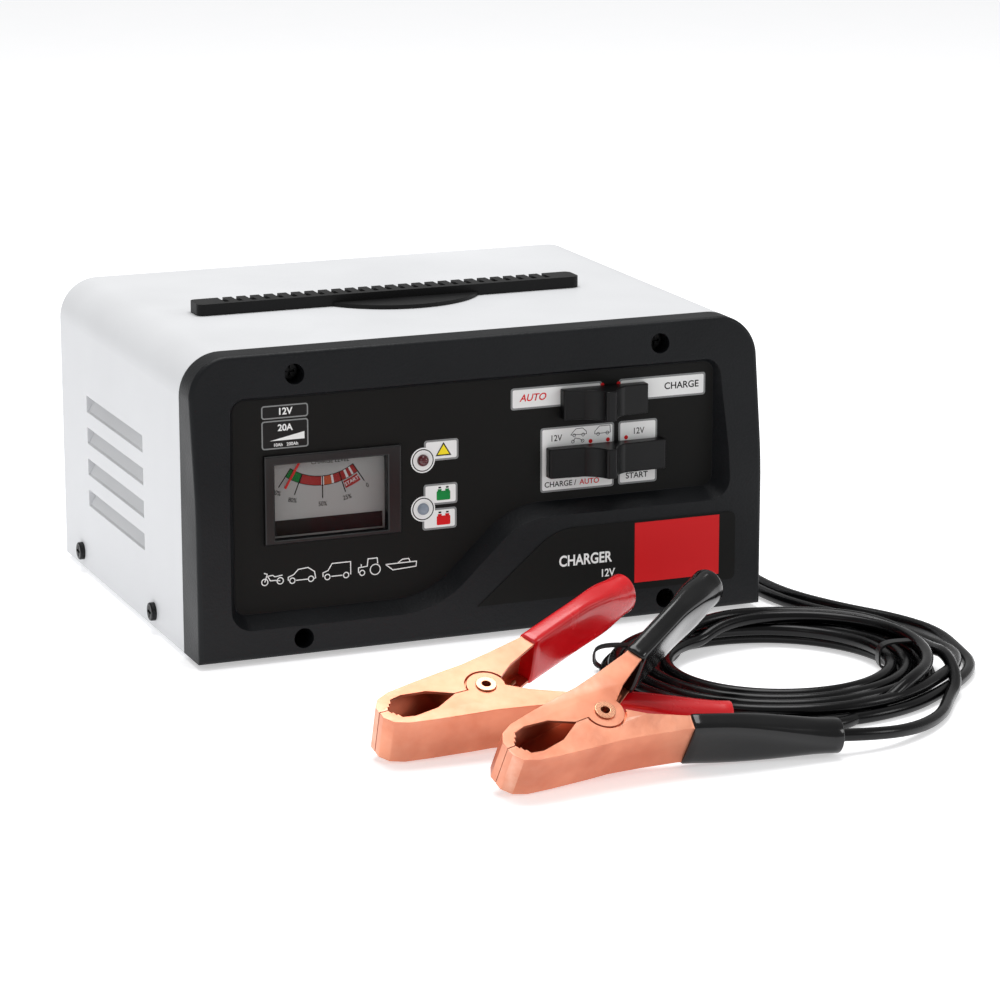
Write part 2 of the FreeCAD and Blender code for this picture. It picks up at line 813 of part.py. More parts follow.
def make_screws(name, plane, sets):
    """A group of pan-head screws. Each set is (places, seat, the way the head stands out)."""
    part = body(name)
    for places, seat, outward in sets:
        discs(part, places, S("screw_shank"), plane, seat + outward * 0.1, S("screw_reach"), -outward)
        discs(part, places, S("screw_head"), plane, seat, S("screw_head_height"), outward)
        recess = [cross_recess(u, v, S("screw_head").value * 0.62) for u, v in places]
        cutout(part, recess, plane, seat + outward * S("screw_head_height"), 1.3, -outward)
    rim = S("screw_head").value

    def is_rim(edge):
        round_edge = isinstance(edge.Curve, Part.Circle)
        return round_edge and abs(edge.Curve.Radius - rim) < 1e-6 and is_outer_rim(edge, plane, sets)

    fillet(part, 0.7, is_rim)
    return node(part, name)


def is_outer_rim(edge, plane, sets):
    """True on the outer end of a screw head."""
    along = {"XZ": edge.BoundBox.YMax, "YZ": edge.BoundBox.XMax}[plane]
    outer = [float(seat + outward * S("screw_head_height")) for _, seat, outward in sets]
    return min(abs(along - value) for value in outer) < 0.01


def make_rubber_feet():
    """Four push-in rubber feet."""
    part = body("rubber_feet")
    discs(part, foot_places, S("foot_radius"), "XY", 0, S("foot_height"), 1)
    discs(part, foot_places, S("foot_stem_radius"), "XY", base_z, gauge + 2.5, 1)
    return node(part, "rubber_feet")


# ---------------------------------------------------------------- carrying handle

def make_handle():
    """Strip handle that pulls up on two legs, with a finger lip at the middle of its front edge."""
    part = body("handle_grip")
    x0 = S("handle_shift") - S("handle_length") / 2
    x1 = S("handle_shift") + S("handle_length") / 2
    y0 = front_y + S("handle_front")
    y1 = y0 + S("handle_width")
    slab(part, [rounded(x0, x1, y0, y1, 3.0)], "XY", handle_base, S("handle_height"), 1)
    half = S("handle_lip_length") / 2
    mid = S("handle_shift") + S("handle_lip_shift")
    reach = S("handle_lip_reach")
    crown = (half * half + reach * reach) / (reach * 2)
    lip = [(mid - half, y0 + 1.0), (mid + half, y0 + 1.0, crown, 1)]
    slab(part, [lip], "XY", handle_base, S("handle_lip_thick"), 1)

    pitch = 6.1
    wave = []
    count = int((S("handle_length").value - 16) / pitch)
    first = S("handle_shift").value - pitch * (count - 1) / 2
    for i in range(count):
        x = first + i * pitch
        wave.append(rectangle(x - 1.1, x + 1.1, y0.value + 3.0, y1.value + 1.0))
    cutout(part, wave, "XY", handle_base + S("handle_height") + 1, 2.1, -1)

    leg = [rectangle(x - S("handle_leg_x") / 2, x + S("handle_leg_x") / 2,
                     handle_mid_y - S("handle_leg_y") / 2, handle_mid_y + S("handle_leg_y") / 2)
           for x in leg_places]
    slab(part, leg, "XY", handle_base + 0.5, leg_length(), -1)
    return node(part, "handle_grip")


def leg_length():
    """A leg reaches far enough below the roof for the handle's travel and the stop clip."""
    return S("handle_gap") + 0.5 + gauge + S("handle_travel") + S("clip_height") + 2.5


def make_stop_clips():
    """Clips pushed on the legs; they meet the roof from below when the handle is fully up."""
    part = body("handle_stop_clips")
    top = top_z - gauge - S("handle_travel") - 0.2
    dx = S("handle_leg_x") / 2 + S("clip_margin")
    dy = S("handle_leg_y") / 2 + S("clip_margin")
    slab(part, [rounded(x - dx, x + dx, handle_mid_y - dy, handle_mid_y + dy, 1.5) for x in leg_places],
         "XY", top, S("clip_height"), -1)
    cutout(part, [rectangle(x - S("handle_leg_x") / 2, x + S("handle_leg_x") / 2,
                            handle_mid_y - S("handle_leg_y") / 2, handle_mid_y + S("handle_leg_y") / 2)
                  for x in leg_places], "XY", top + 1, S("clip_height") + 2, -1)
    return node(part, "handle_stop_clips")


# ---------------------------------------------------------------- slide knobs and switches

def make_knob(name):
    """Slide knob: two low wings that ramp up to a finger ridge, and a stem through the panel."""
    part = body(f"{name}_knob")
    x = S(f"{name}_x")
    base = label_y - S("knob_gap")
    wing = base - S("knob_wing")
    ridge = base - S("knob_ridge")
    left = x - S(f"{name}_left")
    right = x + S(f"{name}_right")
    half = S("knob_ridge_width") / 2
    # seen from above: u is X, v is Y
    profile = [(left, base), (right, base), (right, wing + 1.2), (right - 1.2, wing, 1.2, -1),
               (x + half + 7.0, wing - 1.0), (x + half, ridge + 1.5, 13.0, 1), (x + half - 1.2, ridge, 1.6, -1),
               (x - half + 1.2, ridge), (x - half, ridge + 1.5, 1.6, -1), (x - half - 7.0, wing - 1.0, 13.0, 1),
               (left + 1.2, wing), (left, wing + 1.2, 1.2, -1)]
    low = S(f"{name}_z") - S("knob_height") / 2
    slab(part, [profile], "XY", low, S("knob_height"), 1)
    stem = rectangle(x - S("knob_stem_width") / 2, x + S("knob_stem_width") / 2,
                     S(f"{name}_z") - S("knob_stem_height") / 2, S(f"{name}_z") + S("knob_stem_height") / 2)
    slab(part, [stem], "XZ", base - 0.5, S("knob_stem_length") + 0.5, 1)
    return node(part, f"{name}_knob")


def make_switch_body(name, low, high):
    """Slide-switch housing behind the panel, open at the front where its slider runs."""
    part = body(f"{name}_switch_body")
    x = S(f"{name}_x") + (Size.of(high) - low) / 2
    z = S(f"{name}_z")
    half = S("switch_length") / 2
    tall = S("switch_height") / 2
    slab(part, [rectangle(x - half, x + half, z - tall, z + tall)], "XZ", panel_back + 0.1, S("switch_depth"), 1)
    run = S("slider_length") / 2 + S("slider_fit")
    inner = tall - S("switch_wall")
    cutout(part, [rectangle(S(f"{name}_x") - run - low, S(f"{name}_x") + run + high, z - inner, z + inner)],
           "XZ", panel_back, S("slider_depth") + S("slider_fit") + 0.6, 1)
    blades = [rectangle(x + step * 9.0 - 2.4, x + step * 9.0 + 2.4, z - 0.4, z + 0.4) for step in (-1, 0, 1)]
    slab(part, blades, "XZ", panel_back + S("switch_depth"), 8.0, 1)
    return node(part, f"{name}_switch_body")


def make_switch_actuator(name):
    """The switch's slider: a block with a socket that the knob's stem is pressed into."""
    part = body(f"{name}_switch_actuator")
    x = S(f"{name}_x")
    z = S(f"{name}_z")
    half = S("slider_length") / 2
    tall = S("switch_height") / 2 - S("switch_wall") - S("slider_fit")
    slab(part, [rectangle(x - half, x + half, z - tall, z + tall)], "XZ", panel_back + 0.5, S("slider_depth"), 1)
    socket = rectangle(x - S("knob_stem_width") / 2, x + S("knob_stem_width") / 2,
                       z - S("knob_stem_height") / 2, z + S("knob_stem_height") / 2)
    depth = label_y - S("knob_gap") + S("knob_stem_length") - panel_back + 0.05
    cutout(part, [socket], "XZ", panel_back, depth, 1)
    return node(part, f"{name}_switch_actuator")


# ---------------------------------------------------------------- panel meter

def make_meter_frame():
    """Bevelled black frame that clips into the panel from the front."""
    part = body("meter_frame")
    front = label_y - S("meter_frame_proud")
    outer = rectangle(S("meter_left"), S("meter_right"), S("meter_low"), S("meter_high"))
    slab(part, [outer], "XZ", front, S("meter_frame_proud"), 1)
    neck = rectangle(S("meter_left") + 2.3, S("meter_right") - 2.3, S("meter_low") + 1.3, S("meter_high") - 1.3)
    slab(part, [neck], "XZ", label_y - 0.1, panel_back - label_y + 0.1, 1)
    window = rectangle(S("window_left"), S("window_right"), S("window_low"), S("window_high"))
    cutout(part, [window], "XZ", front - 1, 10, 1)
    edge_y = front.value
    tip = part.Tip
    names = [f"Edge{i}" for i, edge in enumerate(tip.Shape.Edges, start=1)
             if abs(edge.BoundBox.YMax - edge_y) < 1e-3]
    chamfer = part.newObject("PartDesign::Chamfer", "meter_frame_bevel")
    chamfer.Base = (tip, names)
    chamfer.Size = 0.5
    doc.recompute()
    return node(part, "meter_frame")


def make_meter_lens():
    y = label_y + 0.4
    gap = 0.1
    part = box("meter_lens", S("window_left") + gap, y, S("window_low") + gap,
               S("window_right") - S("window_left") - 2 * gap, S("meter_lens_thick"),
               S("window_high") - S("window_low") - 2 * gap)
    return node(part, "meter_lens")


def make_meter_housing():
    """Box behind the panel that holds the dial, the pointer and the movement."""
    part = body("meter_housing")
    x0 = S("meter_left") + 3
    x1 = S("meter_right") - 3
    wall = S("meter_wall")
    start = panel_back + 0.1
    outer = rectangle(x0, x1, S("meter_low") - 0.5, S("meter_roof"))
    inner = rectangle(x0 + wall, x1 - wall, S("meter_low") - 0.5 + wall, S("meter_roof") - wall)
    slab(part, [outer], "XZ", start, S("meter_body_depth"), 1)
    cutout(part, [inner], "XZ", start - 1, S("meter_body_depth") - wall + 1, 1)
    return node(part, "meter_housing")


def make_meter_dial():
    """Printed scale plate on the housing's ribs."""
    wall = S("meter_wall") + 0.1
    x0 = S("meter_left") + 3 + wall
    x1 = S("meter_right") - 3 - wall
    z0 = S("meter_low") - 0.5 + wall
    z1 = S("meter_roof") - wall
    plate = box("dial_plate", x0, label_y + S("dial_setback"), z0, x1 - x0, S("dial_thick"), z1 - z0)
    hole = cylinder("dial_hole", S("needle_x"), label_y, S("needle_z"), 1.6, 20, "Y")
    return node(cut("meter_dial", plate, hole), "meter_dial")


def make_meter_needle():
    """Thin pointer hanging from its hub, with a spindle into the movement."""
    x = S("needle_x")
    z = S("needle_z")
    y = label_y + S("dial_setback") - 1.8
    hub = cylinder("needle_hub_disc", x, y, z, S("needle_hub"), 1.0, "Y")
    spindle = cylinder("needle_spindle", x, y + 0.5, z, 0.9, S("dial_thick") + 3.0, "Y")
    blade = doc.addObject("Part::Box", "needle_blade")
    blade.Length = float(S("needle_width"))
    blade.Width = float(S("needle_thick"))
    blade.Height = float(S("needle_reach"))
    for prop, alias in (("Length", "needle_width"), ("Width", "needle_thick"), ("Height", "needle_reach")):
        bind(blade, prop, S(alias))
    lean = S("needle_rest").value
    turn = Rotation(Vector(0, 1, 0), 180 + lean)
    offset = turn.multVec(Vector(-S("needle_width").value / 2, 0, 0))
    blade.Placement = Placement(Vector(x.value, y.value + 0.3, z.value) + offset, turn)
    return node(fuse("meter_needle", [hub, spindle, blade]), "meter_needle")


def make_meter_movement():
    """Moving-coil drum behind the dial."""
    y = label_y + S("dial_setback") + S("dial_thick") + 0.6
    drum = cylinder("movement_drum", S("needle_x"), y, S("needle_z") - 4, S("movement_radius"), 12, "Y")
    hole = cylinder("movement_bore", S("needle_x"), y - 1, S("needle_z"), 1.1, 6, "Y")
    yoke = box("movement_yoke", S("needle_x") - 14, y + 2, S("needle_z") - 26, 28, 9, 26)
    return node(cut("meter_movement", fuse("movement_body", [drum, yoke]), hole), "meter_movement")


# ---------------------------------------------------------------- lamps and control board

def make_lamp(name, height):
    """Domed 5 mm lamp with its flange behind the panel."""
    y_tip = label_y - S("lamp_proud")
    back = panel_back + 0.1
    dome = doc.addObject("Part::Sphere", f"{name}_dome")
    dome.Radius = float(S("lamp_radius"))
    bind(dome, "Radius", S("lamp_radius"))
    put(dome, S("lamp_x"), y_tip + S("lamp_radius"), height)
    barrel_y = y_tip + S("lamp_radius")
    barrel = cylinder(f"{name}_barrel", S("lamp_x"), barrel_y, height, S("lamp_radius"), back - barrel_y + 1, "Y")
    flange = cylinder(f"{name}_flange", S("lamp_x"), back, height, S("lamp_flange"), 1.0, "Y")
    pins = [box(f"{name}_pin_{i}", S("lamp_x") + dx - 0.25, back + 0.5, height - 0.25, 0.5,
                board_y() - back - 0.5, 0.5) for i, dx in enumerate((-1.27, 1.27))]
    return node(fuse(name, [dome, barrel, flange] + pins), name)


def board_y():
    return panel_back + S("board_gap")


def make_control_board():
    """Circuit board behind the panel, on four bushes."""
    part = body("control_pcb")
    area = rectangle(S("board_left"), S("board_right"), S("board_low"), S("board_high"))
    slab(part, [area], "XZ", board_y(), S("board_thick"), 1)
    corners = [(x, z) for x in (S("board_left") + 4, S("board_right") - 4)
               for z in (S("board_low") + 4, S("board_high") - 4)]
    discs(part, corners, 2.6, "XZ", panel_back + 0.1, S("board_gap"), 1)
    return node(part, "control_pcb")


def make_board_components():
    """Relay, smoothing capacitor, regulator and connector on the back of the board."""
    y = board_y() + S("board_thick")
    x = S("board_left")
    z = S("board_low")
    relay = box("relay", x + 6, y, z + 34, 19, 15, 15)
    capacitor = cylinder("capacitor", x + 46, y, z + 44, 6.2, 20, "Y")
    regulator = box("regulator", x + 40, y, z + 12, 10, 4.5, 15)
    connector = box("connector", x + 8, y, z + 8, 20, 9, 6)
    part = doc.addObject("Part::Compound", "board_components")
    part.Links = [relay, capacitor, regulator, connector]
    return node(part, "board_components")


# ---------------------------------------------------------------- transformer

def core_box():
    """Left, front and bottom of the laminated core."""
    return (S("core_x") - S("core_width") / 2, S("core_y") - S("core_stack") / 2, deck_z + S("core_base"))


def bolt_places():
    half = S("core_width") / 2 + S("bracket_gauge") + S("bracket_foot") / 2
    return [(S("core_x") + side * half, S("core_y") + dy) for side in (-1, 1) for dy in (-9.0, 9.0)]


def make_transformer_core():
    """Stack of E and I laminations with two windows."""
    part = body("transformer_core")
    x, y, z = core_box()
    leg = S("core_leg")
    slab(part, [rectangle(x, x + S("core_width"), z, z + S("core_height"))], "XZ", y, S("core_stack"), 1)
    windows = [rectangle(x + leg, x + 2 * leg, z + leg, z + S("core_height") - leg),
               rectangle(x + S("core_width") - 2 * leg, x + S("core_width") - leg,
                         z + leg, z + S("core_height") - leg)]
    cutout(part, windows, "XZ", y - 1, S("core_stack") + 2, 1)
    return node(part, "transformer_core")


def ring_around_leg(part, gap, wall, low, high):
    """Rectangular ring around the core's centre leg."""
    half_x = S("core_leg") + gap
    half_y = S("core_stack") / 2 + gap
    x, y = S("core_x"), S("core_y")
    slab(part, [rectangle(x - half_x - wall, x + half_x + wall, y - half_y - wall, y + half_y + wall)],
         "XY", low, high - low, 1)
    cutout(part, [rectangle(x - half_x, x + half_x, y - half_y, y + half_y)], "XY", low - 1, high - low + 2, 1)


def make_transformer_windings():
    """Bobbin with end flanges, the primary on it and the heavier secondary outside."""
    _, _, z = core_box()
    gap = S("bobbin_fit")
    wall = S("bobbin_wall")
    low = z + S("core_leg") + gap
    high = z + S("core_height") - S("core_leg") - gap
    first = gap + wall
    bobbin = body("transformer_bobbin")
    ring_around_leg(bobbin, gap, wall, low, high)
    reach = wall + S("coil_primary") + S("coil_secondary") + 1.0
    for start in (low, high - wall):
        outer = rectangle(S("core_x") - S("core_leg") - gap - reach, S("core_x") + S("core_leg") + gap + reach,
                          S("core_y") - S("core_stack") / 2 - gap - reach,
                          S("core_y") + S("core_stack") / 2 + gap + reach)
        hole = rectangle(S("core_x") - S("core_leg") - gap, S("core_x") + S("core_leg") + gap,
                         S("core_y") - S("core_stack") / 2 - gap, S("core_y") + S("core_stack") / 2 + gap)
        slab(bobbin, [outer, hole], "XY", start, wall, 1)
    node(bobbin, "transformer_bobbin")
    primary = body("primary_winding")
    ring_around_leg(primary, first, S("coil_primary"), low + wall, high - wall)
    fillet(primary, 4.0, lambda e: is_upright(e) and is_outside_ring(e, first + S("coil_primary")))
    node(primary, "primary_winding")
    secondary = body("secondary_winding")
    start = first + S("coil_primary") + 0.5
    ring_around_leg(secondary, start, S("coil_secondary") - 0.5, low + wall, high - wall)
    fillet(secondary, 4.5, lambda e: is_upright(e) and is_outside_ring(e, start + S("coil_secondary") - 0.5))
    node(secondary, "secondary_winding")


def is_upright(edge):
    return edge.BoundBox.ZLength > 10 and edge.BoundBox.XLength < 1e-3


def is_outside_ring(edge, reach):
    return abs(edge.BoundBox.XMax - S("core_x").value) > S("core_leg").value + reach.value - 1e-3


def make_transformer_bracket():
    """Steel strap over the core with a foot on each side."""
    part = body("transformer_bracket")
    x, _, _ = core_box()
    t = S("bracket_gauge")
    left = x - 0.1
    right = x + S("core_width") + 0.1
    top = deck_z + S("core_base") + S("core_height") + 0.1
    foot = S("bracket_foot")
    outline = [(left - t - foot, deck_z), (left, deck_z), (left, top), (right, top), (right, deck_z),
               (right + t + foot, deck_z), (right + t + foot, deck_z + t), (right + t, deck_z + t),
               (right + t, top + t), (left - t, top + t), (left - t, deck_z + t), (left - t - foot, deck_z + t)]
    slab(part, [outline], "XZ", S("core_y") - S("bracket_width") / 2, S("bracket_width"), 1)
    holes(part, bolt_places(), S("bolt_radius") + 0.2, "XY", deck_z - 1, t + 2, 1)
    shelf = [rectangle(left + 4, left + 4 + S("core_leg"), deck_z, deck_z + S("core_base")),
             rectangle(right - 4 - S("core_leg"), right - 4, deck_z, deck_z + S("core_base"))]
    part.AllowCompound = True
    slab(part, shelf, "XZ", S("core_y") - S("bracket_width") / 2, S("bracket_width"), 1)
    return node(part, "transformer_bracket")


def make_transformer_bolts():
    part = body("transformer_bolts")
    seat = deck_z + S("bracket_gauge")
    discs(part, bolt_places(), S("bolt_radius"), "XY", seat + 0.1, S("bracket_gauge") + gauge + 0.2, -1)
    discs(part, bolt_places(), S("bolt_radius") * 1.9, "XY", seat, 3.0, 1)
    return node(part, "transformer_bolts")


# ---------------------------------------------------------------- rectifier and power parts

def make_heatsink():
    """Aluminium extrusion standing on the tray: a base plate with fins."""
    part = body("rectifier_heatsink")
    x = S("sink_x")
    y = S("sink_y")
    slab(part, [rectangle(x - S("sink_base") / 2, x + S("sink_base") / 2, y - S("sink_length") / 2,
                          y + S("sink_length") / 2)], "XY", deck_z, S("sink_height"), 1)
    step = (S("sink_length") - S("fin_thick")) / (S("fin_count") - 1)
    fins = []
    for i in range(int(float(S("fin_count")))):
        start = y - S("sink_length") / 2 + step * i
        fins.append(rectangle(x + S("sink_base") / 2 - 0.5, x + S("sink_base") / 2 + S("fin_reach"),
                              start, start + S("fin_thick")))
    slab(part, fins, "XY", deck_z, S("sink_height"), 1)
    return node(part, "rectifier_heatsink")


def make_rectifier():
    """Square bridge rectifier with four blade terminals."""
    half = S("bridge_side") / 2
    x = S("sink_x") - S("sink_base") / 2 - S("bridge_thick")
    z = deck_z + S("sink_height") / 2
    base = box("bridge_case", x, S("sink_y") - half, z - half, S("bridge_thick"), S("bridge_side"), S("bridge_side"))
    blades = [box(f"bridge_blade_{i}", x - 8, S("sink_y") + dy - 3.1, z + dz - 0.4, 9, 6.2, 0.8)
              for i, (dy, dz) in enumerate(((-9, -9), (9, -9), (-9, 9), (9, 9)))]
    return node(fuse("rectifier_bridge", [base] + blades), "rectifier_bridge")


def make_thermal_cutout():
    """Disc-type thermal cutout on the heatsink."""
    x = S("sink_x") - S("sink_base") / 2
    y = S("sink_y") - S("sink_length") / 2 + S("cutout_radius") + 1
    z = deck_z + S("sink_height") - S("cutout_radius") - 1
    disc = cylinder("cutout_disc", x - S("cutout_height"), y, z, S("cutout_radius"), S("cutout_height"), "X")
    pins = [box(f"cutout_pin_{i}", x - S("cutout_height") - 6, y + dy - 2.4, z - 0.4, 7, 4.8, 0.8)
            for i, dy in enumerate((-4.5, 4.5))]
    return node(fuse("thermal_cutout", [disc] + pins), "thermal_cutout")


def make_fuse():
    """Ceramic block with a bolted strip fuse."""
    x, y = S("fuse_x"), S("fuse_y")
    x0 = x - S("fuse_length") / 2
    y0 = y - S("fuse_width") / 2
    block = box("fuse_block", x0, y0, deck_z, S("fuse_length"), S("fuse_width"), S("fuse_height"))
    trough = box("fuse_trough", x - 12, y0 - 1, deck_z + S("fuse_height") - 5, 24, S("fuse_width") + 2, 6)
    node(cut("fuse_holder", block, trough), "fuse_holder")
    top = deck_z + S("fuse_height")
    strip = box("fuse_strip_plate", x0 + 1, y - S("fuse_strip_width") / 2, top, S("fuse_length") - 2,
                S("fuse_strip_width"), S("fuse_strip_thick"))
    waist = [cylinder(f"fuse_waist_{i}", x, y + side * (S("fuse_strip_width") / 2 + 1.0), top - 1, 4.0, 4)
             for i, side in enumerate((-1, 1))]
    plate = cut("fuse_strip_waisted", strip, fuse("fuse_waists", waist))
    bolts = [cylinder(f"fuse_bolt_{i}", x + side * 17, y, top + 0.2, 3.4, 3.0) for i, side in enumerate((-1, 1))]
    node(fuse("fuse_strip", [plate] + bolts), "fuse_strip")


def make_terminal_block():
    """Three-way terminal block inside the mains entry."""
    x0 = S("mains_x") - S("block_length") / 2
    y0 = rear_y - 34
    base = box("block_case", x0, y0, deck_z, S("block_length"), S("block_width"), S("block_height"))
    wells = [cylinder(f"block_well_{i}", S("mains_x") + 11.0 * i, y0 + S("block_width") / 2, deck_z + 8, 3.0, 8)
             for i in (-1, 0, 1)]
    return node(cut("mains_terminal_block", base, fuse("block_wells", wells)), "mains_terminal_block")


def lead_exits():
    """Where the two leads leave the rear panel: negative nearer the middle, positive outside."""
    return [S("lead_exit_x") - S("lead_spread"), S("lead_exit_x") + S("lead_spread")]


def make_mains_gland():
    """Strain relief with an open bore for a mains cord."""
    x, z = S("mains_x"), S("mains_z")
    outside = rear_y - gauge
    reach = S("gland_reach") + gauge
    flange = cylinder("mains_flange", x, outside, z, S("gland_flange"), S("flange_thick"), "Y")
    neck = cylinder("mains_neck", x, outside - S("gland_inner"), z, S("gland_body"), S("gland_inner") + 1, "Y")
    taper = cone("mains_taper", x, outside + 1, z, S("gland_body"), S("gland_tip"), reach - 1, "Y")
    nut = cylinder("mains_nut", x, outside - gauge - 4, z, S("gland_flange") - 0.5, 4, "Y")
    bore = cylinder("mains_bore_tool", x, outside - S("gland_inner") - 1, z, S("mains_bore"), reach + 14, "Y")
    body_ = fuse("mains_gland_body", [flange, neck, taper, nut])
    return node(cut("mains_cord_gland", body_, bore), "mains_cord_gland")


def make_lead_gland():
    """One moulded strain relief for the two charging leads."""
    z = S("lead_exit_z")
    outside = rear_y - gauge
    reach = S("gland_reach") + gauge
    left, right = lead_exits()
    pieces = [box("lead_flange", left - 8, outside, z - 8, right - left + 16, S("flange_thick"), 16)]
    for i, x in enumerate((left, right)):
        pieces.append(cone(f"lead_taper_{i}", x, outside + 1, z, S("gland_tip"), S("lead_radius") + 1.0,
                           reach - 1, "Y"))
        pieces.append(cylinder(f"lead_neck_{i}", x, outside - S("gland_inner"), z, S("gland_tip"),
                               S("gland_inner") + 1, "Y"))
    return node(fuse("dc_lead_gland", pieces), "dc_lead_gland")


# ---------------------------------------------------------------- clamps

def clamp_place(colour):
    """Where a clamp's pivot centre lies, and how the clamp is turned."""
    turn = Rotation(Vector(0, 0, 1), S(f"{colour}_heading").value)
    turn = turn * Rotation(Vector(1, 0, 0), S(f"{colour}_tilt").value)
    turn = turn * Rotation(Vector(0, 0, 1), S(f"{colour}_roll").value)
    return Placement(Vector(S(f"{colour}_x").value, S(f"{colour}_y").value, S(f"{colour}_z").value), turn)


def along_handle(distance, offset):
    """A point beside the handle's centre line, in the upper half's plane."""
    angle = math.radians(S("handle_angle").value)
    x = S("handle_root_x").value + distance * math.cos(angle) - offset * math.sin(angle)
    y = S("handle_root_y").value + distance * math.sin(angle) + offset * math.cos(angle)
    return (x, y)


def channel_length(side):
    """How far a handle's channel reaches into its sleeve: less where the lead joins it."""
    return S("handle_in_sleeve" if side > 0 else "handle_in_lead").value


def web_line(inset, side):
    """The stamped channel's outer wall, from the jaw's tip to the handle's end."""
    reach = S("jaw_reach").value
    tip = [(-reach + inset, 3.2), (-reach + 2.7 + inset * 0.8, 7.0 - inset * 0.75), (-reach + 8, 9.3 - inset),
           (-reach + 18, 11.0 - inset), (-11.0, 13.2 - inset), (-3.0, 14.1 - inset), (10.0, 16.8 - inset)]
    half = S("handle_half").value - inset
    return tip + [along_handle(0.0, half), along_handle(channel_length(side), half)]


def plate_outline(side, with_lobe):
    """Side plate of one clamp half, with its toothed jaw edge and its pivot lobe or notch."""
    seam = S("seam").value
    reach = S("jaw_reach").value
    jaw = [(-reach, seam), (-reach + 3.6, seam), (-reach + 4.2, 1.8), (-reach + 4.9, 1.5), (-reach + 5.5, 3.4),
           (-reach + 6.2, 3.1), (-reach + 7.0, 5.2), (-reach + 12.0, 6.3), (-reach + 22.0, 5.0), (-13.5, seam)]
    radius = S("lobe_radius").value + (0.0 if with_lobe else S("lobe_fit").value)
    left = math.sqrt(radius ** 2 - seam ** 2)
    rise = math.radians(18.0)
    right = (radius * math.cos(rise), radius * math.sin(rise))
    if with_lobe:
        pivot = [(-left, seam), (0.0, -radius, radius, 1), (right[0], right[1], radius, 1)]
    else:
        pivot = [(-left, seam), (0.0, radius, radius, -1), (right[0], right[1], radius, -1)]
    inner = [(14.5, 7.7), along_handle(0.0, -S("handle_half").value),
             along_handle(channel_length(side), -S("handle_half").value)]
    path = jaw + pivot + inner + web_line(0.0, side)[::-1]
    return flip(path, side)


def flip(path, side):
    """The same outline for the lower half, mirrored and traced the other way round."""
    if side > 0:
        return path
    out = []
    for i in range(len(path) - 1, -1, -1):
        after = path[(i + 1) % len(path)]
        point = (path[i][0], -path[i][1])
        out.append(point + (after[2], after[3]) if len(after) == 4 else point)
    return out


def channel_inside(side):
    """What is cleared between the two side plates, inside the web."""
    end = along_handle(channel_length(side) + 5, 0)
    wall = web_line(S("clamp_gauge").value, side)
    wall[-1] = along_handle(channel_length(side) + 5, S("handle_half").value - S("clamp_gauge").value)
    path = [(wall[0][0], -12.0), (14.0, -12.0), (end[0] + 6, end[1] - 12)] + wall[::-1]
    return flip(path, side)


def ear_outline(side):
    """Pivot ear of the inner half, reaching in under its side plate."""
    r = S("lobe_radius").value
    path = [(-r, 0.3), (0.0, -r, r, 1), (r * math.cos(0.3), r * math.sin(0.3), r, 1), (11.0, 6.4), (11.0, 15.6),
            (-3.0, 13.0), (-12.0, 11.6), (-12.0, 0.3)]
    return flip(path, side)


def joggle_outline(side):
    """Band around the notch where the ear is stepped in from the side plate."""
    r = S("lobe_radius").value + S("lobe_fit").value
    rise = 0.34
    path = [(-12.0, 0.4), (-math.sqrt(r ** 2 - 0.16), 0.4), (0.0, r, r, -1),
            (r * math.cos(rise), r * math.sin(rise), r, -1), (11.0, 6.4), (11.0, 15.6), (-3.0, 13.0), (-12.0, 11.6)]
    return flip(path, side)


def make_outer_half(colour, side):
    """Stamped half whose side plates lie outside the other half's pivot ears."""
    part = body(f"{colour}_clamp_outer_half")
    half = S("clamp_width") / 2
    slab(part, [plate_outline(side, True)], "XY", -half, S("clamp_width"), 1)
    cutout(part, [channel_inside(side)], "XY", S("clamp_gauge") - half, S("clamp_width") - 2 * S("clamp_gauge"), 1)
    holes(part, [(0.0, 0.0)], S("rivet_radius") + S("rivet_fit"), "XY", -half - 1, S("clamp_width") + 2, 1)
    part.Placement = clamp_place(colour)
    return node(part, f"{colour}_clamp_outer_half")


def make_inner_half(colour, side):
    """Stamped half whose pivot ears are stepped in to sit between the outer plates."""
    part = body(f"{colour}_clamp_inner_half")
    half = S("clamp_width") / 2
    t = S("clamp_gauge")
    slab(part, [plate_outline(side, False)], "XY", -half, S("clamp_width"), 1)
    cutout(part, [channel_inside(side)], "XY", t - half, S("clamp_width") - 2 * t, 1)
    inner = half - 2 * t - S("ear_fit")
    for way in (-1, 1):
        slab(part, [ear_outline(side)], "XY", way * inner, t, way)
        slab(part, [joggle_outline(side)], "XY", way * inner, t + S("ear_fit") + 0.2, way)
    holes(part, [(0.0, 0.0)], S("rivet_radius") + S("rivet_fit"), "XY", -half - 1, S("clamp_width") + 2, 1)
    part.Placement = clamp_place(colour)
    return node(part, f"{colour}_clamp_inner_half")


def make_rivet(colour):
    """Hollow copper-plated rivet with two rolled heads."""
    part = body(f"{colour}_clamp_rivet")
    half = S("clamp_width") / 2 + 0.1
    discs(part, [(0.0, 0.0)], S("rivet_radius"), "XY", -half, 2 * half, 1)
    for way in (-1, 1):
        discs(part, [(0.0, 0.0)], S("rivet_head"), "XY", way * half, S("rivet_head_thick"), way)
    holes(part, [(0.0, 0.0)], S("rivet_bore"), "XY", -half - 2, 2 * half + 4, 1)
    part.Placement = clamp_place(colour)
    return node(part, f"{colour}_clamp_rivet")


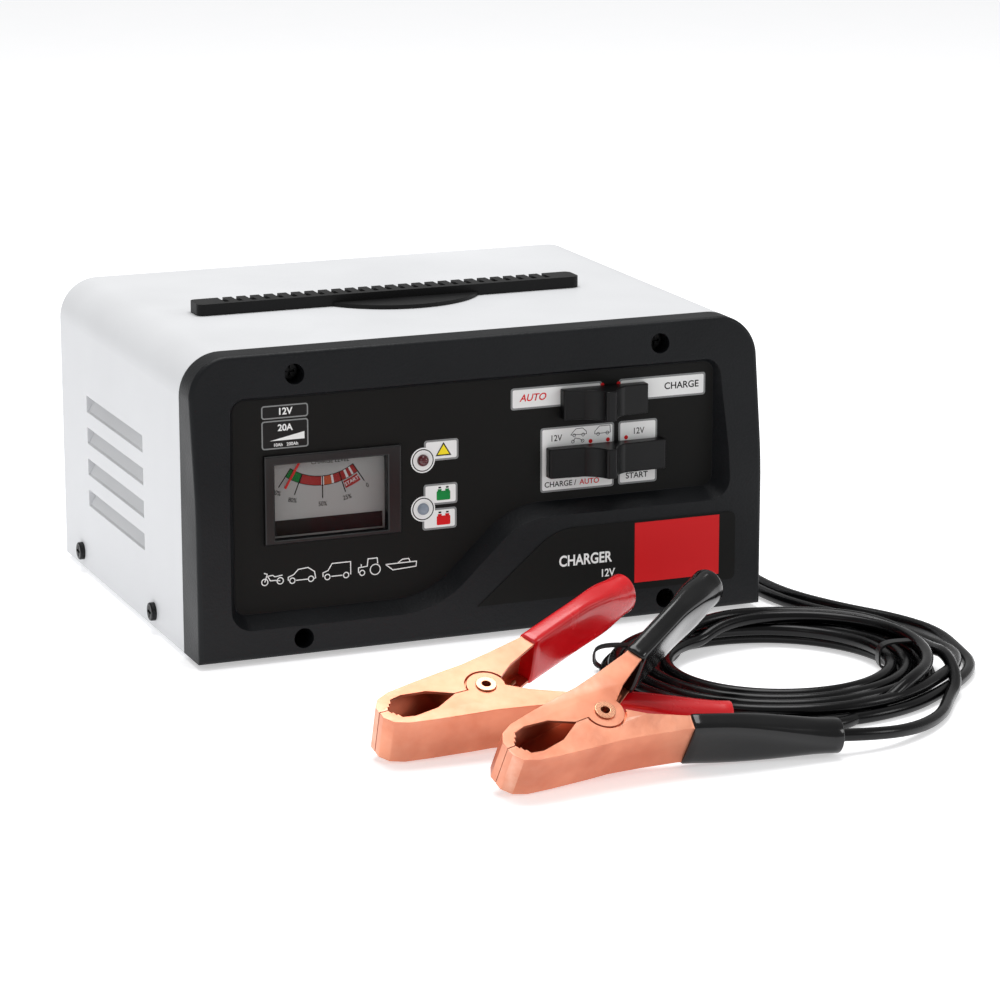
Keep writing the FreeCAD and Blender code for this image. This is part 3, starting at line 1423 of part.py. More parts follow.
def make_spring(colour):
    """Torsion spring round the rivet, with one straight leg into each handle."""
    wire = S("spring_wire").value
    radius = S("spring_radius").value
    turns = S("spring_turns").value
    pitch = 2 * wire + 0.25
    helix = Part.makeHelix(pitch, pitch * turns, radius)
    start_z = -pitch * turns / 2
    helix.translate(Vector(0, 0, start_z))
    section = Part.Wire(Part.makeCircle(wire, Vector(radius, 0, start_z), Vector(0, 1, 0)))
    coil = Part.Wire(helix.Edges).makePipeShell([section], True, True)
    leg = S("spring_leg").value
    lean = math.radians(33.0)
    legs = []
    for way in (-1, 1):
        foot = Vector(radius * math.cos(lean), way * radius * math.sin(lean), way * start_z)
        legs.append(Part.makeCylinder(wire, leg, foot, Vector(math.cos(lean * 0.9), way * math.sin(lean * 0.9), 0)))
    shape = coil.fuse(legs).removeSplitter()
    return node(solid(f"{colour}_clamp_spring", shape, clamp_place(colour)), f"{colour}_clamp_spring")


def section_wire(distance, half_in, half_out, corner, side, off=0.0):
    """Rounded rectangle across a handle: half_in across the clamp's plane of motion, half_out along the rivet."""
    y1, z1 = half_in, half_out
    r = min(corner, y1 - 0.05, z1 - 0.05)
    pts = []
    for cy, cz, a0 in ((y1 - r, z1 - r, 0), (r - y1, z1 - r, 90), (r - y1, r - z1, 180), (y1 - r, r - z1, 270)):
        for step in (0, 45, 90):
            a = math.radians(a0 + step)
            pts.append((cy + r * math.cos(a), cz + r * math.sin(a)))
    def place(pair):
        x, y = along_handle(distance, pair[0] + off)
        return Vector(x, y * side, pair[1])
    edges = []
    for i in range(4):
        a, b, c = (place(p) for p in pts[3 * i:3 * i + 3])
        nxt = place(pts[(3 * i + 3) % 12])
        edges.append(Part.Arc(a, b, c).toShape())
        edges.append(Part.LineSegment(c, nxt).toShape())
    return Part.Wire(edges)


def make_sleeve(colour, name, side, end_in, end_out):
    """Soft sleeve over a handle: boxy where it hugs the channel, rounder at its end."""
    wall = S("sleeve_wall").value + S("sleeve_fit").value
    half_in = S("handle_half").value + wall
    half_out = S("clamp_width").value / 2 + wall
    channel = channel_length(side)
    length = S("sleeve_length").value
    outer = [section_wire(1.5, half_in, half_out, 2.4, side),
             section_wire(channel + 2.0, half_in + 0.4, half_out - 0.2, 3.2, side),
             section_wire(length, end_in, end_out, min(end_in, end_out), side)]
    shape = Part.makeLoft(outer, True, True)
    fit = S("sleeve_fit").value
    hollow = [section_wire(1.0, S("handle_half").value + fit, S("clamp_width").value / 2 + fit, 0.6, side),
              section_wire(channel + 1.0, S("handle_half").value + fit, S("clamp_width").value / 2 + fit, 0.6, side)]
    shape = shape.cut(Part.makeLoft(hollow, True, True))
    return node(solid(f"{colour}_clamp_{name}_sleeve", shape, clamp_place(colour)), f"{colour}_clamp_{name}_sleeve")


def make_clamp(colour, outer_side):
    """A whole clamp. The lower half carries the lead; the upper half moves."""
    make_outer_half(colour, outer_side)
    make_inner_half(colour, -outer_side)
    make_rivet(colour)
    make_spring(colour)
    make_sleeve(colour, "lead", -1, S("lead_sleeve_end").value, S("lead_sleeve_end").value)
    make_sleeve(colour, "free", 1, S("free_sleeve_end_y").value, S("free_sleeve_end_z").value)


def sleeve_end(colour, beyond=0.0):
    """Centre of the lead sleeve's end face, or a point straight out from it, in the charger's frame."""
    x, y = along_handle(S("sleeve_length").value + beyond, 0.0)
    return clamp_place(colour).multVec(Vector(x, -y, 0))


# ---------------------------------------------------------------- leads

FLOOR = S("lead_radius").value + 0.1


def routes():
    """Points of each lead's route where it isn't coiled."""
    exit_y = (rear_y + S("gland_reach")).value
    negative_x, positive_x = (x.value for x in lead_exits())
    exit_z = S("lead_exit_z").value
    return {
        "positive_lead": [
            (positive_x, exit_y, exit_z), (positive_x, exit_y + 16, exit_z), (92.5, 140, 20.5), (98.5, 157, 12),
            (111, 168.5, 5.2), (129, 173, FLOOR), (147, 167, FLOOR), (155.5, 148, FLOOR), (151.5, 122, FLOOR),
            (144, 94, FLOOR),
            (139, 67, FLOOR), (141, 34, FLOOR), (141.5, 1, FLOOR), (136, -30, FLOOR), (132.7, -61, FLOOR),
            (132.8, -92, FLOOR), (138.5, -117, FLOOR), (149.5, -137, FLOOR), (159, -157, FLOOR),
            (162, -181, FLOOR)],
        "negative_lead": [
            (negative_x, exit_y, exit_z), (negative_x, exit_y + 18, exit_z), (79.5, 144, 20.5), (84.5, 165, 12.5),
            (97.5, 180, 5.6), (119, 187, FLOOR), (142, 184, FLOOR), (160.5, 170, FLOOR), (168, 146, FLOOR),
            (162, 116, FLOOR), (153, 89, FLOOR), (148, 61, FLOOR), (151, 28, FLOOR), (150, -5, FLOOR), (143, -37, FLOOR),
            (138.6, -67, FLOOR), (141, -96, FLOOR), (152, -123, FLOOR), (166, -146, FLOOR),
            (173, -171, FLOOR), (167, -199, FLOOR)],
        "positive_lead_tail": [
            tuple(sleeve_end("red")), tuple(sleeve_end("red", 15.0)), (64, -270.8, 3.4), (79.5, -269, FLOOR),
            (92, -260, FLOOR)],
        "negative_lead_tail": [
            tuple(sleeve_end("black")), tuple(sleeve_end("black", 17.0)), (101, -287, 3.6), (119, -273, FLOOR),
            (133, -253, FLOOR)],
    }


def tube(name, points, radius):
    """A round lead along straight runs joined by arcs that touch both runs."""
    spots = [Vector(*p) for p in points]
    edges = []
    start = spots[0]
    radii = []
    for i in range(1, len(spots) - 1):
        back = spots[i - 1] - spots[i]
        ahead = spots[i + 1] - spots[i]
        turn = math.pi - back.getAngle(ahead)
        reach = 0.45 * min(back.Length, ahead.Length)
        if turn < 1e-6:
            raise RuntimeError(f"{name}: three points in line at point {i}, {spots[i]}")
        radii.append(reach / math.tan(turn / 2))
        before = spots[i] + back.normalize() * reach
        after = spots[i] + ahead.normalize() * reach
        bisector = (back + ahead).normalize()
        centre = spots[i] + bisector * math.hypot(radii[-1], reach)
        crown = centre - bisector * radii[-1]
        edges.append(Part.LineSegment(start, before).toShape())
        edges.append(Part.Arc(before, crown, after).toShape())
        start = after
    edges.append(Part.LineSegment(start, spots[-1]).toShape())
    path = Part.Wire(edges)
    heading = spots[1] - spots[0]
    section = Part.Wire(Part.makeCircle(radius, spots[0], heading))
    shape = path.makePipeShell([section], True, True)
    expected = math.pi * radius ** 2 * path.Length
    print(f"{name}: length {path.Length:.1f}, bend radii {min(radii):.1f} to {max(radii):.1f}, "
          f"volume ratio {shape.Volume / expected:.4f}")
    return node(solid(name, shape), name)


def make_lead_coil():
    """Outer form of the coiled part of both leads: one flat ring lying on the floor."""
    part = body("lead_coil")
    low = S("tie_thick") / 2
    sketch = sketch_on(part, "XZ", 0)
    draw(sketch, rounded(S("coil_inner"), S("coil_outer"), low, low + S("coil_height"), S("coil_edge")))
    ring = part.newObject("PartDesign::Revolution", "lead_coil_ring")
    ring.Profile = sketch
    for axis in part.Origin.OriginFeatures:
        if axis.Role == "Z_Axis":
            ring.ReferenceAxis = (axis, [""])
    ring.Angle = 360
    doc.recompute()
    put(part, S("coil_x"), S("coil_y"), 0)
    return node(part, "lead_coil")


TIE_ANGLES = (150.0, -10.0)


def make_lead_ties():
    """Two ties round the coil."""
    rings = []
    for i, angle in enumerate(TIE_ANGLES):
        t = S("tie_thick")
        low = S("coil_inner") - t
        width = S("coil_outer") - S("coil_inner") + 2 * t
        outer = box(f"tie_outer_{i}", low, -S("tie_width") / 2, 0, width, S("tie_width"), S("coil_height") + t * 1.5)
        inner = box(f"tie_inner_{i}", low + t, -S("tie_width"), t, width - 2 * t, 2 * S("tie_width"),
                    S("coil_height") - t * 0.5)
        ring = cut(f"tie_{i}", outer, inner)
        ring.Placement = Placement(Vector(S("coil_x").value, S("coil_y").value, 0),
                                   Rotation(Vector(0, 0, 1), angle))
        bind(ring, ".Placement.Base.x", S("coil_x"))
        bind(ring, ".Placement.Base.y", S("coil_y"))
        rings.append(ring)
    part = doc.addObject("Part::Compound", "lead_ties")
    part.Links = rings
    return node(part, "lead_ties")


# ---------------------------------------------------------------- build everything

def make_all():
    make_top_cover()
    make_base_chassis()
    make_rear_panel()
    make_front_bezel()
    make_control_label()
    make_name_label()
    side_seat = half_width + 0.0
    make_screws("cover_screws", "YZ", [(side_screw_places, -side_seat, -1), (side_screw_places, side_seat, 1)])
    make_screws("bezel_screws", "XZ", [(bezel_screw_places, front_y - S("bezel_bore_floor"), -1)])
    make_screws("rear_panel_screws", "XZ", [(rear_screw_places, rear_y, 1)])
    make_rubber_feet()
    make_handle()
    make_stop_clips()
    for name, low, high in knob_slots():
        make_knob(name)
        make_switch_body(name, low, high)
        make_switch_actuator(name)
    make_meter_frame()
    make_meter_lens()
    make_meter_housing()
    make_meter_dial()
    make_meter_needle()
    make_meter_movement()
    make_lamp("fault_lamp", S("lamp_high"))
    make_lamp("status_lamp", S("lamp_low"))
    make_control_board()
    make_board_components()
    make_transformer_core()
    make_transformer_windings()
    make_transformer_bracket()
    make_transformer_bolts()
    make_heatsink()
    make_rectifier()
    make_thermal_cutout()
    make_fuse()
    make_terminal_block()
    make_mains_gland()
    make_lead_gland()
    make_clamp("black", 1)
    make_clamp("red", -1)
    for name, points in routes().items():
        tube(name, points, S("lead_radius").value)
    make_lead_coil()
    make_lead_ties()


make_all()
doc.recompute()

# ---------------------------------------------------------------- check and write

for item in doc.Objects:
    if "Invalid" in item.State or "Error" in item.State:
        raise RuntimeError(f"{item.Name} failed: {item.State}")
for item in nodes:
    if item.Shape.isNull() or not item.Shape.isValid():
        raise RuntimeError(f"{item.Label} has no valid shape")

os.makedirs("parts", exist_ok=True)
for item in nodes:
    item.Shape.exportStep(f"parts/{item.Label}.step")
print(f"{len(nodes)} nodes written")
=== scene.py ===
# %% [markdown]
# # A car battery charger
# The charger is a folded steel cover round a moulded black control front, with a panel meter,
# two slide switches, a pull-up handle, and two leads that end in copper-plated clamps.
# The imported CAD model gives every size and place. This lesson keeps the CAD pieces whose shape is
# already right, rounds the edges of the ones that are seen close, and adds what CAD leaves out:
# prints, smooth leads, textures and light.

# %% Load the fixed frame
import json
import math

import bmesh
import bpy
import numpy as np
from mathutils import Matrix, Vector


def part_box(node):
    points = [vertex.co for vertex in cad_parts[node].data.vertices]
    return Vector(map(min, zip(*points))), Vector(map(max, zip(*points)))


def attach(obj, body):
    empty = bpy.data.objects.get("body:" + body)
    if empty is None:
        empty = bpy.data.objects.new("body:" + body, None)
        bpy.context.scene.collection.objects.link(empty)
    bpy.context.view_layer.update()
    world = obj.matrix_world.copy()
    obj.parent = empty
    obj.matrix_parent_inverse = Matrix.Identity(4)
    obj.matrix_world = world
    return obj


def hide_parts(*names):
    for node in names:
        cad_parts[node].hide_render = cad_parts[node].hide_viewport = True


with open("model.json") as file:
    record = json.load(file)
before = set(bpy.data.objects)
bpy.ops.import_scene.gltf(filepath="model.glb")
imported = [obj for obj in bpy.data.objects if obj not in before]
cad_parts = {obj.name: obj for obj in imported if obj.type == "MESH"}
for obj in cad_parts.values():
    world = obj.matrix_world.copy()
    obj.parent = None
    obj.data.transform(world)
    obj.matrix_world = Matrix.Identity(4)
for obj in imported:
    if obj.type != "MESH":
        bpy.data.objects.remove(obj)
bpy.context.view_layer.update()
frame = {"nodes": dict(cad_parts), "record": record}
NODES = frame["nodes"]
MM = 0.001

# %% [markdown]
# ## Surface effects
# Real plastic, paint and metal are never one flat colour. Two small shader groups carry what the
# finishes share. One gives a fine grain that stands up from the surface and slow patches of tone,
# and the other gives wear along edges. Each is built once and placed in a material with its own
# scale and strength.


# %% Group: grain and patches
def new_group(name, inputs, outputs):
    """An empty shader group with named number sockets."""
    group = bpy.data.node_groups.new(name, "ShaderNodeTree")
    for socket, value in inputs:
        made = group.interface.new_socket(name=socket, in_out="INPUT", socket_type="NodeSocketFloat")
        made.default_value = value
    for socket in outputs:
        group.interface.new_socket(name=socket, in_out="OUTPUT", socket_type="NodeSocketFloat")
    return group, group.nodes.new("NodeGroupInput"), group.nodes.new("NodeGroupOutput")


def make_grain_group():
    """Fine grain as height, and slow patches from 0 to 1."""
    group, given, result = new_group(
        "moulded_grain", [("Grain Scale", 1500.0), ("Patch Scale", 25.0)], ["Height", "Patch"])
    place = group.nodes.new("ShaderNodeTexCoord")
    grain = group.nodes.new("ShaderNodeTexNoise")
    grain.inputs["Detail"].default_value = 2.0
    patch = group.nodes.new("ShaderNodeTexNoise")
    patch.inputs["Detail"].default_value = 3.0
    group.links.new(place.outputs["Object"], grain.inputs["Vector"])
    group.links.new(place.outputs["Object"], patch.inputs["Vector"])
    group.links.new(given.outputs["Grain Scale"], grain.inputs["Scale"])
    group.links.new(given.outputs["Patch Scale"], patch.inputs["Scale"])
    spread = group.nodes.new("ShaderNodeMapRange")
    spread.inputs["From Min"].default_value = 0.3
    spread.inputs["From Max"].default_value = 0.7
    group.links.new(patch.outputs["Fac"], spread.inputs["Value"])
    group.links.new(grain.outputs["Fac"], result.inputs["Height"])
    group.links.new(spread.outputs["Result"], result.inputs["Patch"])
    return group


def make_wear_group():
    """A mask that is 1 on sharp outer edges, broken up by noise."""
    group, given, result = new_group(
        "edge_wear", [("Break Scale", 220.0), ("Strength", 0.6)], ["Mask"])
    shape = group.nodes.new("ShaderNodeNewGeometry")
    edges = group.nodes.new("ShaderNodeMapRange")
    edges.inputs["From Min"].default_value = 0.52
    edges.inputs["From Max"].default_value = 0.62
    place = group.nodes.new("ShaderNodeTexCoord")
    breaks = group.nodes.new("ShaderNodeTexNoise")
    breaks.inputs["Detail"].default_value = 3.0
    both = group.nodes.new("ShaderNodeMath")
    both.operation = "MULTIPLY"
    scaled = group.nodes.new("ShaderNodeMath")
    scaled.operation = "MULTIPLY"
    scaled.use_clamp = True
    group.links.new(shape.outputs["Pointiness"], edges.inputs["Value"])
    group.links.new(place.outputs["Object"], breaks.inputs["Vector"])
    group.links.new(given.outputs["Break Scale"], breaks.inputs["Scale"])
    group.links.new(edges.outputs["Result"], both.inputs[0])
    group.links.new(breaks.outputs["Fac"], both.inputs[1])
    group.links.new(both.outputs["Value"], scaled.inputs[0])
    group.links.new(given.outputs["Strength"], scaled.inputs[1])
    group.links.new(scaled.outputs["Value"], result.inputs["Mask"])
    return group


GRAIN = make_grain_group()
WEAR = make_wear_group()
print("groups:", GRAIN.name, WEAR.name)

# %% [markdown]
# ## Finishes
# Every finish is one shader with its colour drifting between two near tones, its gloss drifting
# with it, and a bump as deep as the real grain. Metals take a lighter tone on worn edges.


# %% A finish from a few plain numbers
def tone(red, green, blue):
    """A colour given as it looks on a screen, 0 to 255, turned into light."""
    return tuple(((c / 255 + 0.055) / 1.055) ** 2.4 if c > 10 else c / 255 / 12.92
                 for c in (red, green, blue)) + (1.0,)


def finish(name, dark, light, rough, metallic=0.0, grain=0.0, grain_scale=1500.0, patch_scale=25.0,
           wear=None, specular=0.5, coat=0.0, glass=0.0, alpha=1.0):
    """A material: dark and light are its two tones, rough the roughness at each of them, grain the
    depth of the bump in metres, and wear the tone of its worn edges."""
    material = bpy.data.materials.new(name)
    material.use_nodes = True
    tree = material.node_tree
    shader = tree.nodes["Principled BSDF"]
    surface = tree.nodes.new("ShaderNodeGroup")
    surface.node_tree = GRAIN
    surface.inputs["Grain Scale"].default_value = grain_scale
    surface.inputs["Patch Scale"].default_value = patch_scale
    colour = tree.nodes.new("ShaderNodeMix")
    colour.data_type = "RGBA"
    colour.inputs["A"].default_value = dark
    colour.inputs["B"].default_value = light
    tree.links.new(surface.outputs["Patch"], colour.inputs["Factor"])
    out = colour.outputs["Result"]
    if wear:
        edge = tree.nodes.new("ShaderNodeGroup")
        edge.node_tree = WEAR
        worn = tree.nodes.new("ShaderNodeMix")
        worn.data_type = "RGBA"
        worn.inputs["B"].default_value = wear
        tree.links.new(edge.outputs["Mask"], worn.inputs["Factor"])
        tree.links.new(out, worn.inputs["A"])
        out = worn.outputs["Result"]
    tree.links.new(out, shader.inputs["Base Color"])
    gloss = tree.nodes.new("ShaderNodeMapRange")
    gloss.inputs["To Min"].default_value = rough[0]
    gloss.inputs["To Max"].default_value = rough[1]
    tree.links.new(surface.outputs["Patch"], gloss.inputs["Value"])
    tree.links.new(gloss.outputs["Result"], shader.inputs["Roughness"])
    if grain:
        bump = tree.nodes.new("ShaderNodeBump")
        bump.inputs["Distance"].default_value = grain
        tree.links.new(surface.outputs["Height"], bump.inputs["Height"])
        tree.links.new(bump.outputs["Normal"], shader.inputs["Normal"])
    shader.inputs["Metallic"].default_value = metallic
    shader.inputs["Specular IOR Level"].default_value = specular
    shader.inputs["Coat Weight"].default_value = coat
    shader.inputs["Transmission Weight"].default_value = glass
    shader.inputs["Alpha"].default_value = alpha
    return material


# %% The charger's own finishes
FINISH = {
    "cover_paint": finish("white_powder_coat", tone(220, 221, 223), tone(228, 229, 231), (0.42, 0.5),
                          grain=0.00006, grain_scale=900, patch_scale=12, specular=0.35),
    "chassis_steel": finish("grey_powder_coat", tone(176, 178, 180), tone(186, 188, 190), (0.45, 0.55),
                            grain=0.00005, grain_scale=900),
    "bezel_plastic": finish("grained_black_moulding", tone(11, 13, 16), tone(15, 17, 20), (0.42, 0.52),
                            grain=0.00014, grain_scale=1000, patch_scale=30, specular=0.24),
    "label_film": finish("black_label_film", tone(19, 19, 18), tone(21, 21, 20), (0.5, 0.56),
                         grain=0.00001, grain_scale=2500, specular=0.12),
    "black_screw": finish("blackened_screw", tone(12, 12, 13), tone(22, 22, 23), (0.35, 0.5),
                          metallic=0.6, grain=0.00002, wear=tone(90, 90, 92)),
    "foot_rubber": finish("foot_rubber", tone(16, 16, 17), tone(24, 24, 25), (0.7, 0.85),
                          grain=0.00004),
    "handle_plastic": finish("handle_moulding", tone(8, 8, 9), tone(13, 13, 14), (0.42, 0.52),
                             grain=0.00004, grain_scale=1500, specular=0.22),
    "clip_steel": finish("spring_clip_steel", tone(150, 150, 152), tone(185, 186, 188), (0.3, 0.4),
                         metallic=1),
    "knob_plastic": finish("satin_black_knob", tone(5, 5, 6), tone(8, 8, 9), (0.3, 0.4),
                           grain=0.00002, grain_scale=1800, specular=0.22),
    "switch_plastic": finish("switch_nylon", tone(24, 24, 26), tone(34, 34, 36), (0.5, 0.6),
                             grain=0.00003),
    "meter_plastic": finish("meter_frame_black", tone(5, 5, 6), tone(8, 8, 9), (0.28, 0.36),
                            grain=0.00001, specular=0.45),
    "meter_glass": finish("meter_window", tone(20, 22, 24), tone(26, 28, 30), (0.03, 0.06),
                          alpha=0.16),
    "dial_print": finish("dial_card", tone(186, 186, 184), tone(196, 196, 194), (0.6, 0.7),
                         specular=0.2),
    "needle_red": finish("pointer_red", tone(226, 30, 30), tone(236, 44, 40), (0.4, 0.5)),
    "lamp_red": finish("red_lamp_lens", tone(70, 6, 14), tone(96, 10, 20), (0.06, 0.12), coat=0.5),
    "lamp_clear": finish("clear_lamp_lens", tone(118, 128, 142), tone(140, 150, 163), (0.06, 0.14),
                         coat=0.5),
    "board_green": finish("board_laminate", tone(18, 82, 42), tone(26, 98, 52), (0.35, 0.5),
                          grain=0.00003),
    "component_black": finish("component_epoxy", tone(22, 22, 24), tone(32, 32, 34), (0.45, 0.6),
                              grain=0.00003),
    "core_steel": finish("lamination_steel", tone(96, 98, 102), tone(124, 126, 130), (0.38, 0.52),
                         metallic=0.9, grain=0.00003, grain_scale=1400, wear=tone(170, 170, 172)),
    "winding_copper": finish("enamelled_copper", tone(150, 72, 34), tone(186, 96, 48), (0.25, 0.35),
                             metallic=0.9, coat=0.4),
    "sink_aluminium": finish("extruded_aluminium", tone(176, 178, 182), tone(200, 202, 205), (0.3, 0.42),
                             metallic=1, grain=0.00002),
    "gland_rubber": finish("gland_nylon", tone(17, 17, 18), tone(25, 25, 26), (0.5, 0.62),
                           grain=0.00004),
    "lead_pvc": finish("glossy_lead_sheath", tone(3, 3, 4), tone(6, 6, 7), (0.2, 0.3),
                       grain=0.00003, grain_scale=260, patch_scale=60, specular=0.25),
    "tie_plastic": finish("tie_nylon", tone(10, 10, 11), tone(18, 18, 19), (0.35, 0.45),
                          grain=0.00002),
    "clamp_copper": finish("copper_plated_steel", tone(196, 112, 82), tone(226, 150, 118), (0.3, 0.42),
                           metallic=0.92, grain=0.00004, grain_scale=420, patch_scale=45,
                           wear=tone(255, 226, 206)),
    "rivet_copper": finish("bright_copper_rivet", tone(226, 144, 104), tone(248, 186, 150), (0.18, 0.3),
                           metallic=0.95, wear=tone(255, 230, 210)),
    "spring_steel": finish("coppered_spring_wire", tone(120, 66, 44), tone(160, 92, 62), (0.3, 0.42),
                           metallic=1),
    "sleeve_red": finish("red_vinyl_sleeve", tone(214, 8, 20), tone(228, 16, 28), (0.2, 0.3),
                         grain=0.00004, grain_scale=300, patch_scale=70, specular=0.5, coat=0.25),
    "sleeve_black": finish("black_vinyl_sleeve", tone(4, 4, 5), tone(8, 8, 9), (0.14, 0.22),
                           grain=0.00004, grain_scale=300, patch_scale=70, specular=0.3, coat=0.2),
}
print("finishes:", len(FINISH))

# %% [markdown]
# ## Every CAD piece gets its finish
# The record says which finish each piece takes, so one loop serves them all.

# %% Finishes on the CAD pieces
SLOT_OF = {row["node"]: row["material_slot"] for row in frame["record"]["subparts"]}
for name, piece in NODES.items():
    piece.data.materials.clear()
    piece.data.materials.append(FINISH[SLOT_OF[name]])
print("finished pieces:", len(SLOT_OF))
BODY_OF = {node: body for body, members in frame["record"]["behaviour"]["bodies"].items()
           for node in members}

# %% [markdown]
# ## Rounded edges
# No real edge is a knife edge: a moulding has a small radius from its tool and a stamping from its
# die. The pieces near the eye are copied, their flat faces merged, and a narrow bevel rounds each
# edge, so that it catches a thin line of light.


# %% Helpers for pieces
MERGE_DISTANCE = 1e-6            # metres
FLAT_WITHIN = math.radians(0.4)  # faces that lean less than this are one flat face


def show(name, mesh, material):
    """A new piece with that mesh and finish."""
    piece = bpy.data.objects.new(name, mesh)
    bpy.context.scene.collection.objects.link(piece)
    mesh.materials.clear()
    mesh.materials.append(material)
    return piece


def mesh_of(name, form):
    """The mesh of a bmesh, which is freed."""
    mesh = bpy.data.meshes.new(name)
    form.to_mesh(mesh)
    form.free()
    return mesh


def stand_for(piece, node):
    """The piece takes the place of a CAD piece and on its body."""
    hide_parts(node)
    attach(piece, BODY_OF[node])


def round_edges(node, width, segments=2, angle=28):
    """A copy of a CAD piece with its sharp edges rounded to that width in millimetres."""
    form = bmesh.new()
    form.from_mesh(NODES[node].data)
    bmesh.ops.remove_doubles(form, verts=form.verts, dist=MERGE_DISTANCE)
    bmesh.ops.dissolve_limit(form, angle_limit=FLAT_WITHIN, verts=form.verts, edges=form.edges)
    name = node + "_rounded"
    piece = show(name, mesh_of(name, form), FINISH[SLOT_OF[node]])
    for face in piece.data.polygons:
        face.use_smooth = True
    bevel = piece.modifiers.new("rounding", "BEVEL")
    bevel.width = width * MM
    bevel.segments = segments
    bevel.limit_method = "ANGLE"
    bevel.angle_limit = math.radians(angle)
    bevel.use_clamp_overlap = True
    flats = piece.modifiers.new("flat_faces", "WEIGHTED_NORMAL")
    flats.mode = "FACE_AREA"
    flats.weight = 100
    stand_for(piece, node)


# %% Round the pieces that are seen close
ROUNDED = {"front_bezel": 0.35, "mode_knob": 0.5, "range_knob": 0.5, "meter_frame": 0.3,
           "rubber_feet": 0.5, "black_clamp_rivet": 0.25, "red_clamp_rivet": 0.25}
for side in ("red", "black"):
    for half in ("outer_half", "inner_half"):
        ROUNDED[f"{side}_clamp_{half}"] = 0.22
for node, width in ROUNDED.items():
    round_edges(node, width)
print("rounded:", len(ROUNDED))

# %% [markdown]
# ## Clamps
# The two clamps lie on the table on their sides, each turned its own way. One frame for each gives
# places along its handles.

# %% Where the clamps lie
def ease(value):
    """0 to 1 with a soft start and end."""
    value = min(1.0, max(0.0, value))
    return value * value * (3 - 2 * value)


# pivot in millimetres, then heading, tilt and roll in degrees
CLAMP_PLACES = {"red": ((-56.0, -234.7, 16.2), -5.5, 23.1, 13.2),
                "black": ((-30.1, -283.2, 18.1), 3.5, 32.7, 13.7)}


def clamp_frame(side):
    """Place of a clamp: its pivot and the directions along and across it."""
    pivot, *angles = CLAMP_PLACES[side]
    heading, tilt, roll = (Matrix.Rotation(math.radians(angle), 4, axis)
                           for angle, axis in zip(angles, "ZXZ"))
    return Matrix.Translation(pivot) @ (heading @ tilt @ roll)


HANDLE_ANGLE = math.radians(22)
SLEEVE_ROOT = (26.5, 17.5)    # along and across from the pivot, in millimetres
SLEEVE_LENGTH = 63.0


def handle_axis(way):
    """Where a handle's sleeve starts and the way it points; way is 1 for the free handle, -1 for
    the handle with the lead."""
    return (Vector((SLEEVE_ROOT[0], way * SLEEVE_ROOT[1], 0)),
            Vector((math.cos(HANDLE_ANGLE), way * math.sin(HANDLE_ANGLE), 0)))


def sleeve_point(side, beyond):
    """A point on the lead handle's axis, that many millimetres past the end of its sleeve."""
    root, along = handle_axis(-1)
    return tuple(clamp_frame(side) @ (root + along * (SLEEVE_LENGTH + beyond)))


# %% [markdown]
# ## Vinyl sleeves
# Each handle wears a soft vinyl tube. It is boxy where it hugs the stamped channel and round at its
# end, so the tube is a loft of cross sections whose corners open out along the handle.

# %% Sleeves
SLEEVE_HALF_IN, SLEEVE_HALF_OUT = 4.5, 10.8    # half width and half depth where it hugs the channel
# which way the handle goes, how far the channel reaches in, and the half width and depth at the end
SLEEVE_ENDS = {"lead": (-1, 16.0, 6.75, 6.75), "free": (1, 42.0, 7.0, 8.8)}
SLEEVE_RING = 40
# places along the sleeve, and how far the surface stands out there: a turned-in mouth, the even
# wall, and a rolled end that goes back inside
MOUTH = [(1.5, -1.1), (1.7, -0.3), (2.3, 0.0)]
WALL = [(2.3 + (SLEEVE_LENGTH - 3.1) * i / 22, 0.0) for i in range(1, 23)]
ROLLED_END = [(SLEEVE_LENGTH - 0.3, -0.25), (SLEEVE_LENGTH, -1.0), (SLEEVE_LENGTH - 0.4, -1.6),
              (SLEEVE_LENGTH - 9.0, -1.7)]


def rounded_box(turn, power):
    """A point on a unit outline at that angle: power 2 is a circle, and more is boxier."""
    c, s = math.cos(turn), math.sin(turn)
    reach = (abs(c) ** power + abs(s) ** power) ** (-1 / power)
    return reach * c, reach * s


def sleeve_section(distance, channel, ends, grow=0.0):
    """Half width, half depth and squareness of the sleeve at that distance along it."""
    blend = ease((distance - channel * 0.75) / (SLEEVE_LENGTH - channel * 0.75))
    half_in = SLEEVE_HALF_IN + (ends[0] - SLEEVE_HALF_IN) * blend + grow
    half_out = SLEEVE_HALF_OUT + (ends[1] - SLEEVE_HALF_OUT) * blend + grow
    return half_in, half_out, 5.0 - 3.0 * ease((distance - channel) / (SLEEVE_LENGTH - channel - 4))


